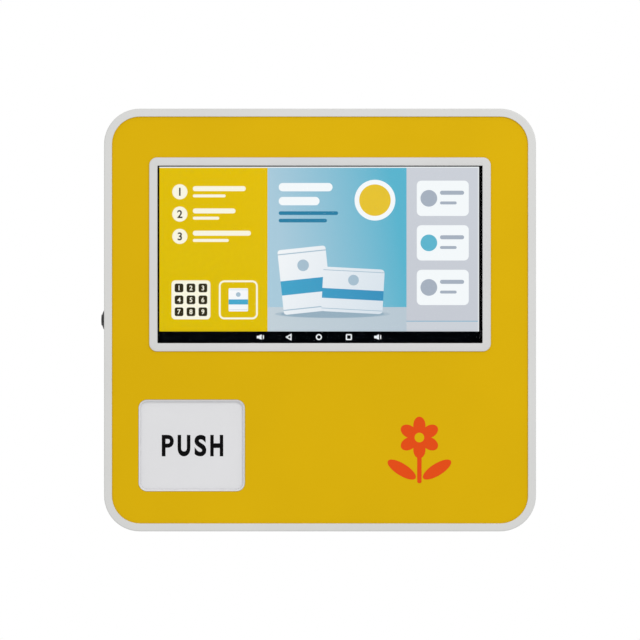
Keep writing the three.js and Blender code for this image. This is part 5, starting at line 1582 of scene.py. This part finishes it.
@dataclass
class Electrics:
    """Power supply, loudspeaker, mains inlet and switch."""

    slot_floor: float = 1.2 * MM
    blade_pitch: float = 7 * MM
    blade_half: float = 1.2 * MM
    blade_back: float = 4 * MM
    basket: float = 11 * MM
    strip_share: float = 0.11
    strip_inset: Point2 = (1.5 * MM, 0.6 * MM)
    strip_deep: float = 6 * MM
    strip_soft: float = 0.4 * MM
    strip_past: float = 0.7
    terminal_pitch: float = 11.5 * MM
    terminal_shift: float = 0.4 * MM
    rib: float = 3 * MM
    rib_root: float = 0.1 * MM
    rib_half: float = 0.04
    mark: float = 2.1 * MM
    mark_line: Point2 = (0.5 * MM, 0.55 * MM)
    ink_gap: float = 0.06 * MM
    ink_thick: float = 0.05 * MM
    screw_radius: float = 2.6 * MM

    def build(self) -> None:
        """Make the electric pieces."""
        self.supply()
        self.speaker()
        self.inlet()
        dressed("switch_housing", "switch_frame", BLACK_PLASTIC, "root", "black_plastic")
        self.rocker()
        dressed("supply_lead", "supply_cable", RUBBER, "root", "seal_rubber", 0)
        Board("control_board", "control_electronics", "root", -1).build()
        Board("screen_computer", "screen_electronics", "door", 1).build()
        dressed("screen_bracket", "display_clamp", ZINC, "door", "steel")
        for i in range(1, 5):
            dressed(f"bracket_screw_{i}", f"clamp_screw_{i}", STEEL, "door", "steel", 0.2)

    def supply(self) -> None:
        """Make the power supply and a row of terminals, with the shallow floors of its slots painted black as
        painted shade.
        """
        pitch = self.terminal_pitch
        low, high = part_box("power_supply")
        supply = dressed("power_supply", "supply_box", SUPPLY_SHELL, "root", "supply_shell")
        floor = low.y + self.slot_floor
        # Painted shade: the slot floors, which stop a little way in, are black to stand for the shade inside
        # open slots.
        painted(supply, CHIP_AND_SHADE_BLACK, lambda face: abs(face.center.y - floor) < 0.1 * MM and face.normal.y < -0.9)
        middle = (low + high) / 2
        strip_low = high.x - (high.x - low.x) * self.strip_share
        x0, x1 = strip_low + self.strip_inset[0], high.x - self.strip_inset[1]
        x = (strip_low + high.x) / 2 + self.terminal_shift
        y = middle.y - self.strip_deep
        count = int((high.z - low.z - 2 * pitch) / pitch) + 1
        first = middle.z - (count - 1) / 2 * pitch
        past, thin = pitch * self.strip_past, pitch * self.rib_half
        pieces = [block((x0, y, first - past), (x1, middle.y, first + (count - 1) * pitch + past),
                        BLACK_PLASTIC, soft=self.strip_soft)]
        for i in range(count):
            z = first + i * pitch
            gap = z + pitch / 2
            pieces.append(screw_head(Vector((x, y, z)), FORWARD, self.screw_radius, BRASS))
            pieces.append(block((x0, y - self.rib, gap - thin), (x1, y + self.rib_root, gap + thin),
                                BLACK_PLASTIC))
        seated(merged("supply_terminals", pieces), "root", "black_plastic")

    def speaker(self) -> None:
        """Make the loudspeaker with its rim, basket and magnet."""
        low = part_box("loudspeaker")[0]
        speaker = dressed("loudspeaker", "speaker_unit", BLACK_PLASTIC, "root", "black_plastic", 0.4)
        painted(speaker, MOTOR_CAN, lambda face: face.center.z > low.z + self.basket / 3)
        painted(speaker, ZINC, lambda face: face.center.z > low.z + self.basket)
        painted(speaker, CONE, lambda face: face.normal.z < -0.9)

    def inlet(self) -> None:
        """Make the mains inlet with bare metal blades."""
        middle, high = centre_of("power_inlet"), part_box("power_inlet")[1]
        inlet = dressed("power_inlet", "mains_inlet", BLACK_PLASTIC, "root", "black_plastic", 0.15)
        blades = [middle.x + i * self.blade_pitch for i in (-1, 0, 1)]

        def on_blade(face: MeshPolygon) -> bool:
            """Say whether a face belongs to a blade."""
            points = [inlet.data.vertices[i].co for i in face.vertices]
            beside = any(all(abs(point.x - x) < self.blade_half for point in points) for x in blades)
            return beside and all(middle.y < point.y < high.y - self.blade_back for point in points)

        painted(inlet, STEEL, on_blade)

    def rocker(self) -> None:
        """Make the switch's key and print its plain on and off signs."""
        key = dressed("switch_rocker", "switch_key", BLACK_PLASTIC, "rocker", "black_plastic")
        lower = (face for face in key.data.polygons if face.normal.z < -0.6)
        faces = sorted(lower, key=lambda face: -face.area)[:2]
        faces.sort(key=lambda face: face.center.y)
        side = self.mark * 2
        ring_line, bar_line = self.mark_line
        signs = [annulus(Loop(side, side, self.mark * 0.98, steps=8), ring_line, NYLON),
                 flat(Loop(bar_line, side), NYLON)]
        for face, sign in zip(faces, signs):
            sign.data.transform(Matrix.Rotation(math.pi / 2, 4, "Z") @ UPRIGHT)
            if sign.data.polygons[0].normal.z < 0:
                sign.data.flip_normals()
            pointed(sign, face.normal.copy(), face.center + face.normal * self.ink_gap)
        seated(merged("switch_signs", signs, self.ink_thick), "rocker", "black_plastic")


@dataclass
class Board:
    """A circuit board on standoffs, with sockets along an edge, capacitors, chips and screws."""

    node: str
    name: str
    body: str
    direction: int
    thick: float = 1.6 * MM
    standoff: float = 5 * MM
    standoff_inset: float = 6 * MM
    screw_radius: float = 2.6 * MM
    edge_gap: float = 0.1 * MM
    sink_start: Point2 = (0.46, 0.5)
    socket_up: float = 0.045
    socket_wide: float = 0.06
    socket_size: Point3 = (2.8 * MM, 6.5 * MM, 0.3 * MM)
    chip_half: Point2 = (1.5 * MM, 0.8 * MM)
    chip_size: Point2 = (1.1 * MM, 0.1 * MM)
    sockets: tuple[float, ...] = (0.2, 0.38, 0.56, 0.74)
    cans: tuple[tuple[float, float, float, float], ...] = (
        (0.5, 0.36, 3.4, 8.0), (0.6, 0.4, 3.4, 8.0), (0.12, 0.56, 2.6, 6.0), (0.42, 0.8, 2.6, 6.0),
        (0.9, 0.42, 2.6, 6.0))
    chips: tuple[Point2, ...] = (
        (0.3, 0.55), (0.36, 0.55), (0.3, 0.62), (0.36, 0.62), (0.62, 0.22), (0.68, 0.22), (0.2, 0.32),
        (0.2, 0.38), (0.8, 0.56), (0.86, 0.56))

    def __post_init__(self) -> None:
        """Read the board's box from the frame; direction is 1 where the parts stand out along +Y."""
        self.low, self.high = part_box(self.node)
        self.size = self.high - self.low
        self.seat = self.low.y if self.direction > 0 else self.high.y
        self.face_y = self.seat + self.direction * (self.standoff + self.thick)

    def at(self, across: float, up: float) -> Vector:
        """Return a place on the board's face from its shares of width and height."""
        return Vector((self.low.x + self.size.x * across, self.face_y, self.low.z + self.size.z * up))

    def rise(self, face: MeshPolygon) -> float:
        """Return how far a face's middle is from the board's seat."""
        return (face.center.y - self.seat) * self.direction

    def brick(self, place: Vector, half: Point2, height: float, soft: float) -> Object:
        """Return a block that stands on the board.

        Args:
            place: Middle of its foot.
            half: Half its width and height along the board.
            height: How far it stands out.
            soft: Radius of its edges.

        Returns:
            The block.
        """
        low_y, high_y = sorted((self.face_y, self.face_y + self.direction * height))
        return block((place.x - half[0], low_y, place.z - half[1]),
                     (place.x + half[0], high_y, place.z + half[1]), NYLON, soft=soft)

    def can(self, radius: float, height: float, at: Vector) -> Object:
        """Return a capacitor with a groove near its foot and a bare top, of sizes in millimetres."""
        shares = ((0, 0), (radius, 0), (radius, height * 0.12), (radius * 0.93, height * 0.16),
                  (radius, height * 0.2), (radius, height - 0.4), (radius - 0.4, height), (0, height))
        profile = [(across * MM, along * MM) for across, along in shares]
        capacitor = turned("capacitor", profile, Axis.Z, Vector(), BLACK_PLASTIC)
        painted(capacitor, ALUMINIUM, lambda face: face.center.z > (height - 0.1) * MM)
        return pointed(capacitor, Vector((0, self.direction, 0)), at)

    def build(self) -> None:
        """Make the board with a finish for each of its kinds of part, and its small parts."""
        rise = self.rise
        board = dressed(self.node, self.name, BOARD_GREEN, self.body, "circuit_board", 0.2)
        top = self.standoff + self.thick + self.edge_gap
        x, z = self.at(*self.sink_start).xz
        painted(board, BRASS, lambda face: rise(face) < self.standoff - self.edge_gap)
        painted(board, CHIP_AND_SHADE_BLACK, lambda face: rise(face) > top)
        painted(board, ALUMINIUM, lambda face: rise(face) > top and face.center.x > x and face.center.z > z)
        half, *form = self.socket_size
        socket = (self.size.x * self.socket_wide, half)
        pieces = [self.brick(self.at(share, self.socket_up), socket, *form) for share in self.sockets]
        pieces += [self.can(radius, height, self.at(across, up)) for across, up, radius, height in self.cans]
        pieces += [self.brick(self.at(*place), self.chip_half, *self.chip_size) for place in self.chips]
        out = Vector((0, self.direction, 0))
        for x in (self.low.x + self.standoff_inset, self.high.x - self.standoff_inset):
            for z in (self.low.z + self.standoff_inset, self.high.z - self.standoff_inset):
                place = Vector((x, self.face_y + self.direction * self.thick, z))
                pieces.append(screw_head(place, out, self.screw_radius, STEEL))
        seated(merged(f"{self.name}_parts", pieces), self.body, "circuit_board")


@dataclass(frozen=True)
class PaleFloor(Finish):
    """A pale floor with a glow of its own, seen by the camera alone and by way of gloss or glass."""

    glow: float = 0.64

    def shade(self, nodes: Nodes) -> None:
        """Build the surface from nodes."""
        pale = nodes.mix(nodes.span(nodes.noise(3, 2)), linear(226, 226, 226), linear(232, 232, 232))
        diffuse = nodes.add("BsdfDiffuse", {"Color": pale})
        glow = nodes.add("Emission", {"Strength": nodes.combined("MULTIPLY", nodes.seen(), self.glow)})
        nodes.surface(nodes.add("AddShader", {0: diffuse.outputs[0], 1: glow.outputs[0]}))


@dataclass
class Studio:
    """The camera, the lamps and the white surround."""

    distance: float = 3.15
    lens: float = 156.85
    sensor: float = 36.0
    far: float = 50.0
    ambient: float = 0.72
    lamps: tuple[tuple[str, Point3, float, float], ...] = (
        ("key", (1.1, -2.4, 1.5), 0.7, 18.5), ("fill", (-0.6, -3.4, 0.3), 1.8, 8.8))
    floor_drop: float = 3.3
    floor_half: float = 2.4

    def build(self) -> None:
        """Set the camera, the world, the floor and the lamps."""
        self.camera()
        self.world()
        self.floor()
        for lamp in self.lamps:
            self.lamp(*lamp)
        bpy.context.scene.view_settings.view_transform = "Standard"

    def camera(self) -> None:
        """Place the camera square to the front."""
        data = bpy.data.cameras.new("camera")
        data.lens = self.lens
        data.sensor_width = self.sensor
        data.clip_end = self.far
        camera = linked("camera", data)
        camera.location = (0, -self.distance, 0)
        camera.rotation_euler = (math.pi / 2, 0, 0)
        bpy.context.scene.camera = camera

    def world(self) -> None:
        """Make a white surround that lights the object at a plain level."""
        world = bpy.data.worlds.new("surround")
        bpy.context.scene.world = world
        nodes = Nodes(world, "OutputWorld")
        lit, white = (nodes.add("Background", {"Color": WHITE, "Strength": strength}).outputs[0]
                      for strength in (self.ambient, 1.0))
        nodes.surface(nodes.add("MixShader", {0: nodes.seen(), 1: lit, 2: white}))

    def floor(self) -> None:
        """Lay a plain pale floor, low enough for a look at the machine from below."""
        bm = bmesh.new()
        bmesh.ops.create_grid(bm, x_segments=1, y_segments=1, size=self.floor_half,
                              matrix=Matrix.Translation((0, 0, -self.floor_drop)))
        finished("floor", bm, PaleFloor("pale_floor"), smooth=False)

    def lamp(self, name: str, at: Point3, size: float, power: float) -> None:
        """Add a soft square lamp that faces the machine.

        Args:
            name: The lamp's name.
            at: Its place.
            size: Its side.
            power: Watts.
        """
        data = bpy.data.lights.new(name, "AREA")
        data.shape = "SQUARE"
        data.size = size
        data.energy = power
        lamp = linked(name, data)
        lamp.location = at
        lamp.rotation_mode = "QUATERNION"
        lamp.rotation_quaternion = (-Vector(at)).to_track_quat("-Z", "Y")


def main() -> None:
    """Build the machine from its sub-assemblies, in order."""
    logging.basicConfig(level=logging.INFO, format="%(name)s: %(message)s")
    assemblies = [Case(), Door(), Picture(), Flap(), Motif(), Lock(), Hinges(), Lane("lower"), Lane("upper"),
                  Chute(), Electrics(), Studio()]
    for assembly in assemblies:
        assembly.build()


if __name__ == "__main__":
    main()
